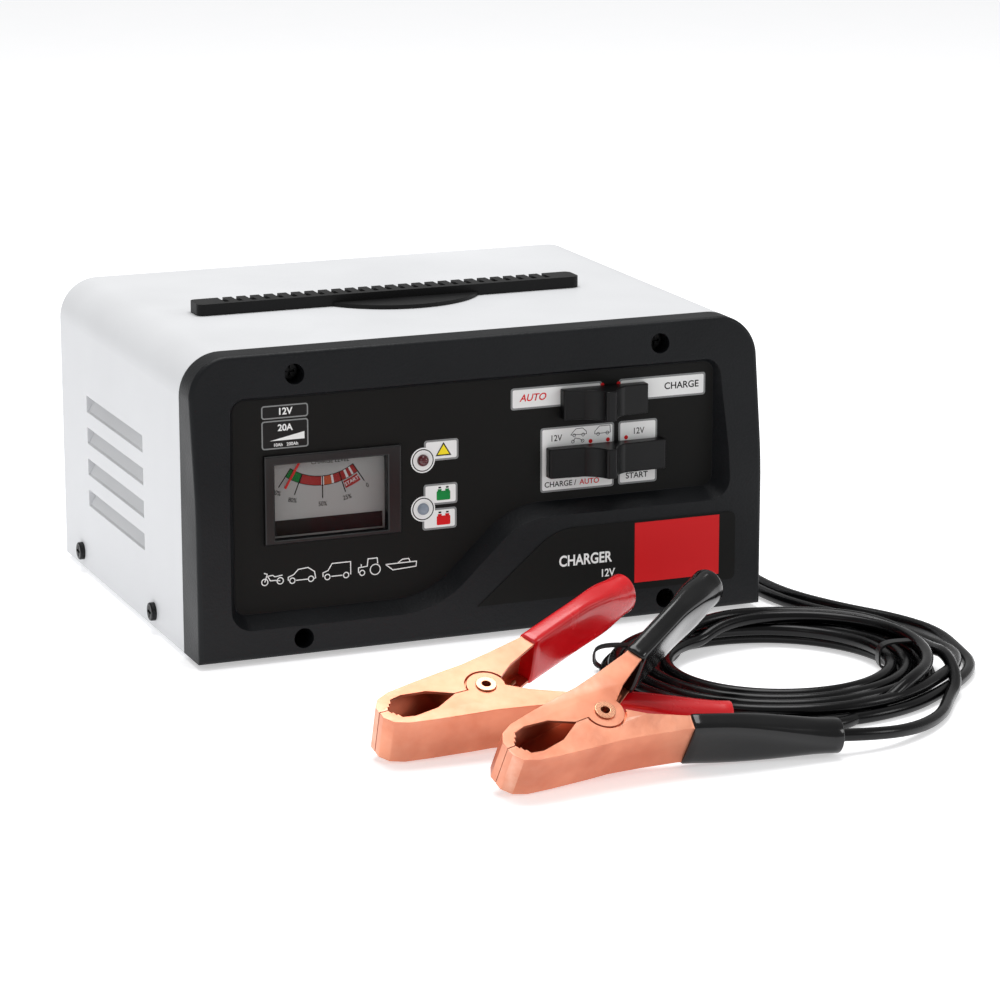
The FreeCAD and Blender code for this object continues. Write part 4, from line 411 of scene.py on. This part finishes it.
def make_sleeve(side, which):
    """The vinyl tube on one handle, lofted from ring to ring and closed at both ends."""
    way, channel, *ends = SLEEVE_ENDS[which]
    place = clamp_frame(side)
    root, along = handle_axis(way)
    across = Vector((-math.sin(HANDLE_ANGLE), way * math.cos(HANDLE_ANGLE), 0))
    form = bmesh.new()
    rings = []
    for distance, grow in MOUTH + WALL + ROLLED_END:
        half_in, half_out, power = sleeve_section(distance, channel, ends, grow)
        ring = []
        for i in range(SLEEVE_RING):
            u, v = rounded_box(2 * math.pi * i / SLEEVE_RING, power)
            spot = root + along * distance + across * (half_in * u) + Vector((0, 0, half_out * v))
            ring.append(form.verts.new(place @ spot * MM))
        rings.append(ring)
    for first, second in zip(rings, rings[1:]):
        for i in range(SLEEVE_RING):
            j = (i + 1) % SLEEVE_RING
            form.faces.new((first[i], first[j], second[j], second[i]))
    form.faces.new(rings[0][::-1])
    form.faces.new(rings[-1])
    bmesh.ops.recalc_face_normals(form, faces=form.faces)
    for face in form.faces:
        face.smooth = len(face.verts) == 4
    piece = show(f"{side}_clamp_{which}_tube", mesh_of("tube", form), FINISH[f"sleeve_{side}"])
    stand_for(piece, f"{side}_clamp_{which}_sleeve")
    return piece


TUBES = {(side, which): make_sleeve(side, which)
         for side in ("red", "black") for which in ("lead", "free")}
print("sleeves:", len(TUBES))

# %% [markdown]
# ## Torsion springs
# A spring wound round the rivet pushes the handles apart. Its coil and one leg stay with the fixed
# half, and the other leg lies in the moving half and turns with it about the same rivet.

# %% Springs
# radius of the wire and of the coil's line, number of turns, and length of a leg, in millimetres
SPRING_WIRE, SPRING_RADIUS, SPRING_TURNS, SPRING_LEG = 0.85, 4.7, 4, 19.0
SPRING_PITCH = 2 * SPRING_WIRE + 0.25
LEG_LEAN = math.radians(33)


def wire(name, points, radius, side, body):
    """A bent wire through points given in the clamp's own frame, in millimetres."""
    curve = bpy.data.curves.new(name, "CURVE")
    curve.dimensions = "3D"
    curve.bevel_depth = radius * MM
    curve.bevel_resolution = 3
    curve.use_fill_caps = True
    spline = curve.splines.new("POLY")
    spline.points.add(len(points) - 1)
    for spot, point in zip(spline.points, points):
        spot.co = (*(clamp_frame(side) @ Vector(point) * MM), 1.0)
    piece = bpy.data.objects.new(name, curve)
    bpy.context.scene.collection.objects.link(piece)
    curve.materials.append(FINISH["spring_steel"])
    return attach(piece, body)


def make_spring(side, moving_body):
    """The spring in two wires: the coil with its still leg, and the leg that moves with the jaw."""
    start = -SPRING_PITCH * SPRING_TURNS / 2

    def leg(way):
        foot = Vector((SPRING_RADIUS * math.cos(LEG_LEAN), way * SPRING_RADIUS * math.sin(LEG_LEAN),
                       way * start))
        bent = LEG_LEAN * 0.9
        return [foot, foot + Vector((math.cos(bent), way * math.sin(bent), 0)) * SPRING_LEG]

    coil = [(SPRING_RADIUS * math.cos(a), SPRING_RADIUS * math.sin(a),
             start + SPRING_PITCH * a / (2 * math.pi))
            for a in np.linspace(LEG_LEAN, 2 * math.pi * SPRING_TURNS - LEG_LEAN, 20 * SPRING_TURNS)]
    fixed = wire(f"{side}_spring_coil", coil + leg(-1)[1:], SPRING_WIRE, side, "case")
    wire(f"{side}_spring_moving_leg", leg(1), SPRING_WIRE, side, moving_body)
    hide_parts(f"{side}_clamp_spring")


make_spring("red", "red_upper_jaw")
make_spring("black", "black_upper_jaw")
print("springs: 2")

# %% [markdown]
# ## The two leads
# Each lead is one continuous cable, 5 mm thick: out of its strain relief at the back, down to the
# table, round the side of the case, through four turns of a coil, and into the sleeve of its
# clamp. A smooth spline through a few chosen points gives the lie of a heavy flexible cable. The
# negative lead lies on the table and the positive lead rests in the grooves between its turns.

# %% Sizes of the leads
LEAD = 5.0              # diameter
FLOOR_Z = 2.6           # height of a lead's line when it lies on the table
COIL_X, COIL_Y = 88.0, -198.0
GAP = LEAD + 0.2        # from line to line where two leads touch
EXIT_Y, EXIT_Z = 106.65, 27.0    # end of the strain relief
# the coil's outline: clockwise angles in degrees, its outer lane's radius there, and the step from
# one lane to the next
RING_ANGLE = (0, 60, 90, 130, 180, 212, 263, 300, 330, 360)
RING_OUTER = (64, 66.5, 67.5, 73.5, 76, 76, 69, 66, 64.5, 64)
RING_STEP = (3.0, 3.3, 3.3, 3.6, 3.65, 3.5, 3.1, 3.05, 3.0, 3.0)


# %% The way from the back of the case to the coil
def on_table(*spots):
    """Points of a route that lie on the table."""
    return [(x, y, FLOOR_Z) for x, y in spots]


POSITIVE_RUN = [
    (90, EXIT_Y, EXIT_Z), (90, EXIT_Y + 16, EXIT_Z), (92.5, 140, 20.5), (98.5, 157, 12),
    (111, 168.5, 5.2), *on_table(
        (129, 173), (147, 167), (155.5, 148), (151.5, 122), (144, 94), (139, 67), (141, 34), (141.5, 1),
        (136, -30), (132.7, -61), (132.8, -92), (138.5, -117), (149.5, -137), (159, -157))]
NEGATIVE_RUN = [
    (78, EXIT_Y, EXIT_Z), (78, EXIT_Y + 18, EXIT_Z), (79.5, 144, 20.5), (84.5, 165, 12.5),
    (97.5, 180, 5.6), *on_table(
        (119, 187), (142, 184), (160.5, 170), (168, 146), (162, 116), (153, 89), (148, 61), (151, 28),
        (150, -5), (143, -37), (138.6, -67), (141, -96), (152, -123), (166, -146), (173, -171))]
print("route points:", len(POSITIVE_RUN), len(NEGATIVE_RUN))


# %% The lie of the coil
def ring_value(angle, values):
    """A value of the bundle at a clockwise angle in degrees, smoothed over its neighbours."""
    around = [(angle + shift) % 360 for shift in (-24, -12, 0, 12, 24)]
    return float(np.mean(np.interp(around, RING_ANGLE, values)))


def lane(angle, place):
    """Radius of one lane of the bundle, in millimetres; place 0 is the outermost."""
    return ring_value(angle, RING_OUTER) - ring_value(angle, RING_STEP) * place


def turns(first, last, place, arrive, arrive_end, lift, top):
    """Points every 2 degrees, clockwise from above. The lead comes in at radius arrive and is in its
    lane by angle arrive_end. Each turn moves it in by two lanes, one for each lead. After angle lift
    it goes over the bundle through the (angle, radius) pairs of top."""
    angles = np.arange(first, last + 0.01, 2.0)
    spots = [lift, *[a for a, _ in top]]
    radii = [lane(lift, place + 2 * lift / 360), *[r for _, r in top]]
    found = []
    for angle in angles:
        radius = lane(angle, place + 2 * max(angle, 0) / 360)
        radius += (arrive - lane(first, place)) * (1 - ease((angle - first) / (arrive_end - first)))
        if angle > lift:
            part = min(int(np.searchsorted(spots, angle)) - 1, len(spots) - 2)
            share = ease((angle - spots[part]) / (spots[part + 1] - spots[part]))
            radius = radii[part] + (radii[part + 1] - radii[part]) * share
        turned = math.radians(-angle)
        found.append((COIL_X + radius * math.cos(turned), COIL_Y + radius * math.sin(turned)))
    return angles, np.array(found)


HELD, SOFT, FADE = 5, 6, 14    # points that a height is held over, smoothed over, and faded out over


def resting(plan, under, floor_ends=(False, False)):
    """Height of each point of a lead that lies on the table and on the line under it. floor_ends
    says whether its start and its end come down to the table."""
    height = np.full(len(plan), FLOOR_Z)
    for i, spot in enumerate(plan):
        across = np.hypot(under[:, 0] - spot[0], under[:, 1] - spot[1])
        near = across < GAP
        if near.any():
            height[i] = max(FLOOR_Z, (under[near, 2] + np.sqrt(GAP ** 2 - across[near] ** 2)).max())
    padded = np.pad(height, HELD, mode="edge")
    held = np.array([padded[i:i + 2 * HELD + 1].max() for i in range(len(height))])
    padded = np.pad(held, SOFT, mode="edge")
    height = np.array([padded[i:i + 2 * SOFT + 1].mean() for i in range(len(held))])
    for comes_down, line in zip(floor_ends, (height, height[::-1])):
        if comes_down:
            for i in range(FADE):
                line[i] = min(line[i], FLOOR_Z + (line[FADE] - FLOOR_Z) * ease(i / FADE))
    return height


def laid(plan, height):
    """Plan and height as points."""
    return np.column_stack([plan, height])


N_LIFT, P_LIFT = 1320, 1330    # where each lead leaves its lane and goes over the bundle
OWN = 40                       # a lead's last points before that, which it can't rest on
n_angle, n_plan = turns(first=2, last=1491, place=0, arrive=79.0, arrive_end=52, lift=N_LIFT,
                        top=[(1450, 62.0), (1491, 71.5)])
p_angle, p_plan = turns(first=-13, last=1527, place=1, arrive=75.9, arrive_end=56, lift=P_LIFT,
                        top=[(1440, 55.0), (1527, 62.0)])
n_low, p_low = n_angle <= N_LIFT, p_angle <= P_LIFT
n_height = np.full(len(n_plan), FLOOR_Z)
p_height = np.full(len(p_plan), FLOOR_Z)
low_n = laid(n_plan[n_low], n_height[n_low])
p_height[p_low] = resting(p_plan[p_low], low_n, (True, False))
low_p = laid(p_plan[p_low], p_height[p_low])
p_height[~p_low] = resting(p_plan[~p_low], np.vstack([low_n, low_p[:-OWN]]), (False, True))
everything = np.vstack([low_n[:-OWN], low_p, laid(p_plan[~p_low], p_height[~p_low])])
n_height[~n_low] = resting(n_plan[~n_low], everything, (False, True))
print("coil height", round(float(max(n_height.max(), p_height.max())) + LEAD / 2, 1), "mm")


# %% Draw a lead
def lead(name, points):
    """A cable along those points in millimetres, on the case's body, and the points along its middle
    line.
    """
    curve = bpy.data.curves.new(name, "CURVE")
    curve.dimensions = "3D"
    curve.resolution_u = 6
    curve.bevel_depth = LEAD / 2 * MM
    curve.bevel_resolution = 4
    curve.use_fill_caps = True
    spline = curve.splines.new("NURBS")
    spline.points.add(len(points) - 1)
    for spot, point in zip(spline.points, points):
        spot.co = (point[0] * MM, point[1] * MM, point[2] * MM, 1.0)
    spline.order_u = 3
    spline.use_endpoint_u = True
    spline.resolution_u = 6
    piece = bpy.data.objects.new(name, curve)
    bpy.context.scene.collection.objects.link(piece)
    curve.materials.append(FINISH["lead_pvc"])
    bare = curve.copy()
    bare.bevel_depth = 0
    probe = bpy.data.objects.new("probe", bare)
    bpy.context.scene.collection.objects.link(probe)
    bpy.context.view_layer.update()
    line = bpy.data.meshes.new_from_object(probe.evaluated_get(bpy.context.evaluated_depsgraph_get()))
    spots = np.array([v.co for v in line.vertices])
    bpy.data.objects.remove(probe)
    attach(piece, "case")
    return piece, spots


STEP = 5    # every fifth point of the coil, 10 degrees apart, is one of the spline's own
NEGATIVE_TAIL = [(133, -253, FLOOR_Z), (119, -273, FLOOR_Z), (101, -287, 3.6)]
POSITIVE_TAIL = [(79.5, -269, FLOOR_Z), (64, -270.8, 3.4)]
negative_coil = [tuple(p) for p in laid(n_plan, n_height)[::STEP]]
positive_coil = [tuple(p) for p in laid(p_plan, p_height)[::STEP]]
negative_points = (NEGATIVE_RUN + negative_coil + NEGATIVE_TAIL
                   + [sleeve_point("black", 17.0), sleeve_point("black", 0.0)])
positive_points = (POSITIVE_RUN + positive_coil + POSITIVE_TAIL
                   + [sleeve_point("red", 15.0), sleeve_point("red", 0.0)])
negative_cable, negative_line = lead("negative_cable", negative_points)
positive_cable, positive_line = lead("positive_cable", positive_points)
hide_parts("negative_lead", "negative_lead_tail", "lead_coil")
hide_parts("positive_lead", "positive_lead_tail")


# %% How close the leads come to each other
def closest(first, second, apart=0):
    """Smallest distance in millimetres between two lines of points, or within one if apart is given."""
    least = math.inf
    for i in range(len(first)):
        gaps = np.linalg.norm(second - first[i], axis=1)
        if apart:
            gaps = np.concatenate([gaps[:max(0, i - apart)], gaps[i + apart:]])
        if len(gaps):
            least = min(least, float(gaps.min()))
    return round(least / MM, 2)


ALONG = 30    # neighbours along one lead that don't count
print("between leads", closest(negative_line, positive_line), "within",
      closest(negative_line, negative_line, ALONG), closest(positive_line, positive_line, ALONG))

# %% [markdown]
# ## Cable ties
# Two soft nylon ties hold the turns of the coil together. Each is a flat strap that goes round the
# bundle in a boxy loop, as wide and as high as the bundle is where it sits.

# %% Ties
STRAP_THICK, STRAP_HALF, STRAP_RING = 0.8, 2.2, 48
STRAP_SQUARENESS = 3.2


def make_tie(number, angle, inner, outer, top):
    """A strap round the bundle at that angle from the coil's centre, between two radii and as high
    as top, in millimetres."""
    turned = math.radians(angle)
    out = Vector((math.cos(turned), math.sin(turned), 0))
    side = Vector((-math.sin(turned), math.cos(turned), 0))
    centre = Vector((COIL_X, COIL_Y, 0)) + out * ((inner + outer) / 2) + Vector((0, 0, top / 2 + 0.15))
    half_r, half_z = (outer - inner) / 2, top / 2
    form = bmesh.new()
    loops = []
    for i in range(STRAP_RING):
        u, v = rounded_box(2 * math.pi * i / STRAP_RING, STRAP_SQUARENESS)
        loop = []
        for deep, shift in ((STRAP_THICK, -STRAP_HALF), (0.0, -STRAP_HALF), (0.0, STRAP_HALF),
                            (STRAP_THICK, STRAP_HALF)):
            spot = (centre + out * ((half_r - deep) * u) + side * shift
                    + Vector((0, 0, (half_z - deep) * v)))
            loop.append(form.verts.new(spot * MM))
        loops.append(loop)
    for first, second in zip(loops, loops[1:] + loops[:1]):
        for i in range(4):
            j = (i + 1) % 4
            form.faces.new((first[i], first[j], second[j], second[i]))
    bmesh.ops.recalc_face_normals(form, faces=form.faces)
    piece = show(f"tie_{number}", mesh_of("tie", form), FINISH["tie_plastic"])
    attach(piece, "case")
    return piece


ties = [make_tie(1, -10, 39.0, 60.5, 12.6), make_tie(2, 150, 45.0, 76.5, 11.4)]
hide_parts("lead_ties")
print("ties:", len(ties))

# %% [markdown]
# ## Printed labels
# The panel is a printed film. Prints are thin flat shapes laid just above it, one mesh for each ink,
# as a screen printer lays one colour after another: grey frames, white plates, then the marks.

# %% Inks
PLANES = {"panel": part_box("control_label")[0].y / MM, "name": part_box("name_label")[0].y / MM,
          "dial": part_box("meter_dial")[0].y / MM}
INK_TONES = {"white": (236, 237, 236), "grey": (134, 136, 136), "black": (16, 16, 16),
             "red": (214, 20, 26), "green": (10, 134, 62), "amber": (248, 226, 40),
             "orange": (206, 96, 60), "dark_red": (176, 52, 50)}
INK = {name: finish(f"ink_{name}", tone(*(max(0, c - 4) for c in rgb)), tone(*rgb), (0.45, 0.55),
                    specular=0.25)
       for name, rgb in INK_TONES.items()}
SHEETS = {}
INK_GAP, INK_LEVEL = 0.03, 0.025    # height of the first layer and of each one above it


def ink_form(ink, surface):
    """The mesh that gathers everything in one ink on one surface."""
    return SHEETS.setdefault((ink, surface), bmesh.new())


def ink_plane(surface, level):
    """How far forward a layer of ink lies; level lifts it above what is under it."""
    return PLANES[surface] - INK_GAP - INK_LEVEL * level


def area(ink, points, level, surface="panel"):
    """A filled shape from (x, z) corners in millimetres."""
    form = ink_form(ink, surface)
    plane = ink_plane(surface, level)
    form.faces.new([form.verts.new(Vector((x, plane, z)) * MM) for x, z in points])


def block(ink, x0, z0, x1, z1, level, surface="panel"):
    """A filled rectangle."""
    area(ink, [(x0, z0), (x1, z0), (x1, z1), (x0, z1)], level, surface)


def plate(x0, z0, x1, z1, radius=1.0):
    """Corners of a rounded rectangle."""
    spots = []
    for cx, cz, start in ((x1 - radius, z1 - radius, 0), (x0 + radius, z1 - radius, 90),
                          (x0 + radius, z0 + radius, 180), (x1 - radius, z0 + radius, 270)):
        for step in range(0, 91, 18):
            turn = math.radians(start + step)
            spots.append((cx + radius * math.cos(turn), cz + radius * math.sin(turn)))
    return spots


def framed(x0, z0, x1, z1, fill="white", edge=0.8):
    """A plate with a grey frame round it."""
    area("grey", plate(x0, z0, x1, z1, 1.2), 0)
    area(fill, plate(x0 + edge, z0 + edge, x1 - edge, z1 - edge, 0.7), 1)


def circle(x, z, radius, count=32):
    """Points round a circle."""
    return [(x + radius * math.cos(a), z + radius * math.sin(a))
            for a in np.linspace(0, 2 * math.pi, count + 1)[:-1]]


def disc(ink, x, z, radius, level, surface="panel"):
    area(ink, circle(x, z, radius), level, surface)


def stroke(ink, points, width, level, surface="panel", closed=False):
    """A drawn line: one strip for each run, and a round dot at each corner."""
    line = list(points) + ([points[0]] if closed else [])
    for (x0, z0), (x1, z1) in zip(line, line[1:]):
        length = math.hypot(x1 - x0, z1 - z0) or 1
        nx, nz = -(z1 - z0) / length * width / 2, (x1 - x0) / length * width / 2
        area(ink, [(x0 + nx, z0 + nz), (x0 - nx, z0 - nz), (x1 - nx, z1 - nz), (x1 + nx, z1 + nz)],
             level, surface)
    for x, z in line[1:-1]:
        disc(ink, x, z, width / 2, level + 0.1, surface)


CAPITAL = 0.72    # height of a capital, as a share of the font's size


def words(ink, text, x, z, height, level, surface="panel", turn=0.0, lean=0.0, wide=1.0, bold=0.0):
    """Lettering of that capital height, centred on a point."""
    curve = bpy.data.curves.new("words", "FONT")
    curve.body = text
    curve.size = height / CAPITAL
    curve.align_x = "CENTER"
    curve.align_y = "CENTER"
    curve.shear = lean
    curve.offset = bold
    holder = bpy.data.objects.new("words", curve)
    bpy.context.scene.collection.objects.link(holder)
    bpy.context.view_layer.update()
    mesh = bpy.data.meshes.new_from_object(holder.evaluated_get(bpy.context.evaluated_depsgraph_get()))
    bpy.data.objects.remove(holder)
    plane = ink_plane(surface, level)
    turned = math.radians(turn)
    for vertex in mesh.vertices:
        across, up = vertex.co.x * wide, vertex.co.y
        vertex.co = Vector((x + across * math.cos(turned) - up * math.sin(turned), plane,
                            z + across * math.sin(turned) + up * math.cos(turned))) * MM
    ink_form(ink, surface).from_mesh(mesh)
    bpy.data.meshes.remove(mesh)


# %% Switch plates
framed(13.7, 93.7, 54.7, 102.9)
framed(62.3, 93.3, 102.0, 103.0)
framed(27.0, 57.5, 60.3, 85.0)
framed(62.3, 57.8, 80.0, 85.0)
words("black", "CHARGE", 91.0, 98.2, 2.9, 2, bold=0.07)
words("red", "AUTO", 23.5, 98.4, 3.0, 2, lean=0.25, bold=0.08)
words("black", "12V", 34.0, 80.2, 2.7, 2, wide=0.9, bold=0.03)
words("black", "12V", 71.4, 80.2, 2.7, 2, wide=0.9, bold=0.03)
words("black", "CHARGE /", 36.0, 60.6, 2.3, 2, bold=0.05)
words("red", "AUTO", 49.2, 60.6, 2.3, 2, bold=0.05)
words("black", "START", 70.8, 61.2, 2.5, 2, bold=0.05)
for x, z in ((54.8, 101.2), (62.2, 101.2), (49.6, 77.7), (57.5, 77.7), (65.8, 77.9)):
    disc("red", x, z, 0.9, 3)

# %% Lamp plates
framed(-24.6, 75.5, -9.5, 84.3)
framed(-24.9, 56.9, -10.0, 65.8)
framed(-25.5, 46.5, -10.4, 55.4)
for z in (76.2, 55.7):
    for ink, radius, level in (("white", 5.3, 3), ("black", 4.75, 4), ("white", 4.3, 5)):
        disc(ink, -25.2, z, radius, level)
area("black", [(-19.6, 77.4), (-12.6, 77.4), (-16.1, 83.1)], 2)
area("amber", [(-18.7, 77.95), (-13.5, 77.95), (-16.1, 82.1)], 3)
for ink, low in (("green", 58.7), ("red", 48.2)):
    area(ink, plate(-19.2, low, -13.2, low + 3.9, 0.5), 2)
    block(ink, -18.7, low + 3.7, -17.0, low + 4.7, 2)
    block(ink, -15.4, low + 3.7, -13.7, low + 4.7, 2)
    for x in (-17.8, -14.5):
        block("black", x - 0.6, low + 5.0, x + 0.6, low + 5.7, 2)

# %% Rating plate
for x0, z0, x1, z1 in ((-94.4, 99.0, -74.5, 104.6), (-94.4, 86.5, -74.5, 98.3)):
    framed(x0, z0, x1, z1, fill="black", edge=0.55)
words("white", "12V", -84.4, 101.8, 2.8, 3, bold=0.1)
words("white", "20A", -84.4, 95.1, 2.7, 3, bold=0.1)
area("white", [(-91.0, 90.0), (-76.2, 90.0), (-76.2, 93.0)], 3)
words("white", "10Ah   200Ah", -84.2, 88.2, 1.35, 3, bold=0.03)

# %% Vehicles
LINE = 0.42
OUTLINES = [
    [(-94.0, 31.6), (-92.9, 34.9), (-94.3, 35.4)],
    [(-92.9, 34.2), (-91.6, 32.0), (-89.6, 32.0), (-87.4, 31.6)],
    [(-92.8, 34.0), (-90.6, 34.2), (-89.6, 33.5), (-86.4, 33.9)],
    [(-83.9, 31.2), (-84.0, 32.7), (-81.6, 33.6), (-79.6, 35.6), (-75.4, 36.0), (-72.6, 34.0),
     (-72.2, 31.3), (-73.0, 31.0)],
    [(-80.6, 31.1), (-75.6, 31.1)],
    [(-69.0, 31.3), (-69.0, 33.0), (-66.8, 33.8), (-65.0, 36.6), (-57.0, 36.6), (-57.0, 31.2)],
    [(-65.4, 31.2), (-60.6, 31.2)],
    [(-53.6, 31.4), (-53.6, 33.6), (-49.8, 33.9), (-49.4, 37.0), (-45.4, 37.0), (-45.2, 34.6)],
    [(-52.4, 33.8), (-52.4, 35.0)],
    [(-41.8, 33.8), (-28.2, 33.9), (-28.4, 31.8), (-38.6, 31.2), (-41.8, 33.8)],
    [(-36.4, 34.0), (-34.4, 35.3), (-31.6, 35.4), (-31.0, 34.0)]]
for outline in OUTLINES:
    stroke("white", outline, LINE, 2)
# wheels: a motorcycle's, a car's and a van's, and a tractor's small and big one
WHEELS = [(-94.0, 31.6, 1.35, 14), (-87.4, 31.6, 1.35, 14), (-82.2, 31.1, 1.15, 14),
          (-74.2, 31.1, 1.15, 14), (-67.1, 31.1, 1.15, 14), (-59.0, 31.1, 1.15, 14),
          (-52.0, 31.3, 1.1, 14), (-46.3, 32.2, 2.2, 18)]
for x, z, radius, count in WHEELS:
    stroke("white", circle(x, z, radius, count), LINE, 2, closed=True)

# %% Small vehicles on the switch plate
THIN_LINE, WHEEL_LINE = 0.25, 0.22
for outline in ([(40.6, 81.0), (41.6, 82.2), (43.0, 83.5), (46.0, 83.6), (47.6, 82.2), (47.8, 81.0),
                 (40.6, 81.0)],
                [(51.4, 80.6), (51.6, 81.8), (53.6, 83.8), (58.4, 83.8), (58.6, 80.8), (51.4, 80.6)],
                [(41.6, 78.2), (42.6, 79.6), (44.6, 79.2), (46.0, 78.2)]):
    stroke("black", outline, THIN_LINE, 2)
for x, z in ((42.2, 80.8), (46.2, 80.8), (53.0, 80.5), (57.2, 80.7), (41.6, 78.2), (46.0, 78.2)):
    stroke("black", circle(x, z, 0.65, 10), WHEEL_LINE, 3, closed=True)

# %% Name label
block("red", 66.0, 17.2, 105.0, 43.1, 1, "name")
words("white", "CHARGER", 43.5, 29.6, 4.6, 1, "name", wide=0.82, bold=0.16)
words("white", "12V", 53.6, 22.8, 3.3, 1, "name", wide=0.9, bold=0.09)

# %% [markdown]
# ## The meter's card
# The card is a printed scale: a coloured band that sweeps round the pointer's pivot, ticks, and the
# percentages. Everything is placed by angle from the middle of the scale's arc.

# %% Dial
ARC_X, ARC_Z = -67.0, 96.3
BAND_IN, BAND_OUT, BAND_EDGE = 24.1, 27.65, 0.3    # radii of the coloured band, and its black edge


def on_dial(radius, angle):
    """A point at that angle from straight down, positive to the right."""
    turned = math.radians(angle)
    return (ARC_X + radius * math.sin(turned), ARC_Z - radius * math.cos(turned))


def band(ink, first, last, inner, outer, level):
    """A part of a ring between two angles and two radii."""
    steps = [first + (last - first) * i / 10 for i in range(11)]
    area(ink, [on_dial(outer, a) for a in steps] + [on_dial(inner, a) for a in reversed(steps)],
         level, "dial")


band("black", -35.2, 33.6, BAND_IN - BAND_EDGE, BAND_OUT + BAND_EDGE, 0)
for ink, first, last in (("green", -34.9, -21.0), ("dark_red", -20.5, -1.0), ("white", -1.0, 1.5),
                         ("orange", 1.5, 8.5), ("white", 8.5, 10.6), ("dark_red", 10.6, 22.0),
                         ("white", 22.0, 24.2), ("dark_red", 24.2, 27.4), ("white", 27.4, 29.2),
                         ("dark_red", 29.2, 33.3)):
    band(ink, first, last, BAND_IN, BAND_OUT, 1)
for text, angle, reach in (("100%", -34.9, 33.0), ("80%", -21.5, 33.0), ("50%", 0.0, 33.2),
                           ("25%", 17.5, 33.0), ("0", 33.3, 33.0)):
    tick = [on_dial(BAND_IN - BAND_EDGE, angle), on_dial(reach, angle)]
    stroke("black", tick, 0.45, 2, "dial")
    x, z = on_dial(reach + 2.4, angle)
    words("black", text, x, z, 1.9, 2, "dial", turn=angle * 0.6, wide=0.85, bold=0.03)
band("dark_red", 18.5, 31.5, 28.3, 31.6, 1)
x, z = on_dial(29.95, 25.0)
words("white", "START", x, z, 1.6, 2, "dial", turn=25, bold=0.03)
words("black", "CHARGE LEVEL", -63.6, 78.4, 1.75, 2, "dial", bold=0.02)
block("black", -89.4, 48.9, -41.1, 55.4, 1, "dial")

# %% Turn the inks into pieces
for (ink, surface), form in SHEETS.items():
    bmesh.ops.recalc_face_normals(form, faces=form.faces)
    for face in form.faces:
        if face.normal.y > 0:
            face.normal_flip()
    piece = show(f"{surface}_{ink}_print", mesh_of(f"{surface}_{ink}", form), INK[ink])
    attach(piece, "case")
print("inks:", len(SHEETS))

# %% [markdown]
# ## Camera, floor and light
# A charger is sold on white: a long lens from the front left, slightly above, a white table, and
# big soft lights, so that the black front shows its edges and the shadow stays close.

# %% Camera
camera_data = bpy.data.cameras.new("camera")
camera_data.lens = 134.28
camera_data.sensor_width = 36
camera = bpy.data.objects.new("camera", camera_data)
camera.location = (-0.5569, -1.4777, 0.4308)
camera.rotation_euler = (math.radians(75.948), 0, math.radians(-22.217))
bpy.context.scene.collection.objects.link(camera)
bpy.context.scene.camera = camera

# %% Floor and light
BELOW_FEET = 0.0002    # metres
WHITE = (1, 1, 1, 1)
floor_form = bmesh.new()
bmesh.ops.create_grid(floor_form, x_segments=1, y_segments=1, size=6.0)
floor = show("table", mesh_of("table", floor_form), finish(
    "white_table", tone(250, 251, 253), tone(252, 252, 254), (0.7, 0.8), specular=0.1))
floor.location.z = -BELOW_FEET
glow = floor.data.materials[0].node_tree.nodes["Principled BSDF"]
glow.inputs["Emission Color"].default_value = WHITE
glow.inputs["Emission Strength"].default_value = 0.46

world = bpy.data.worlds.new("studio")
world.use_nodes = True
world.node_tree.nodes["Background"].inputs["Color"].default_value = WHITE
world.node_tree.nodes["Background"].inputs["Strength"].default_value = 0.42
bpy.context.scene.world = world
bpy.context.scene.view_settings.view_transform = "Standard"


def soft_light(name, place, target, size, power):
    """A square panel of light that faces a point, in metres and watts."""
    lamp = bpy.data.lights.new(name, "AREA")
    lamp.size = size
    lamp.energy = power
    panel = bpy.data.objects.new(name, lamp)
    panel.location = place
    panel.rotation_euler = (Vector(target) - Vector(place)).to_track_quat("-Z", "Y").to_euler()
    bpy.context.scene.collection.objects.link(panel)


soft_light("top_panel", (0.05, 0.1, 1.5), (0, -0.05, 0), 1.0, 17)
soft_light("left_panel", (-1.5, -1.2, 0.9), (0, -0.1, 0.05), 0.6, 1.5)
soft_light("right_panel", (1.5, -1.2, 0.8), (0, -0.15, 0.05), 0.5, 5)
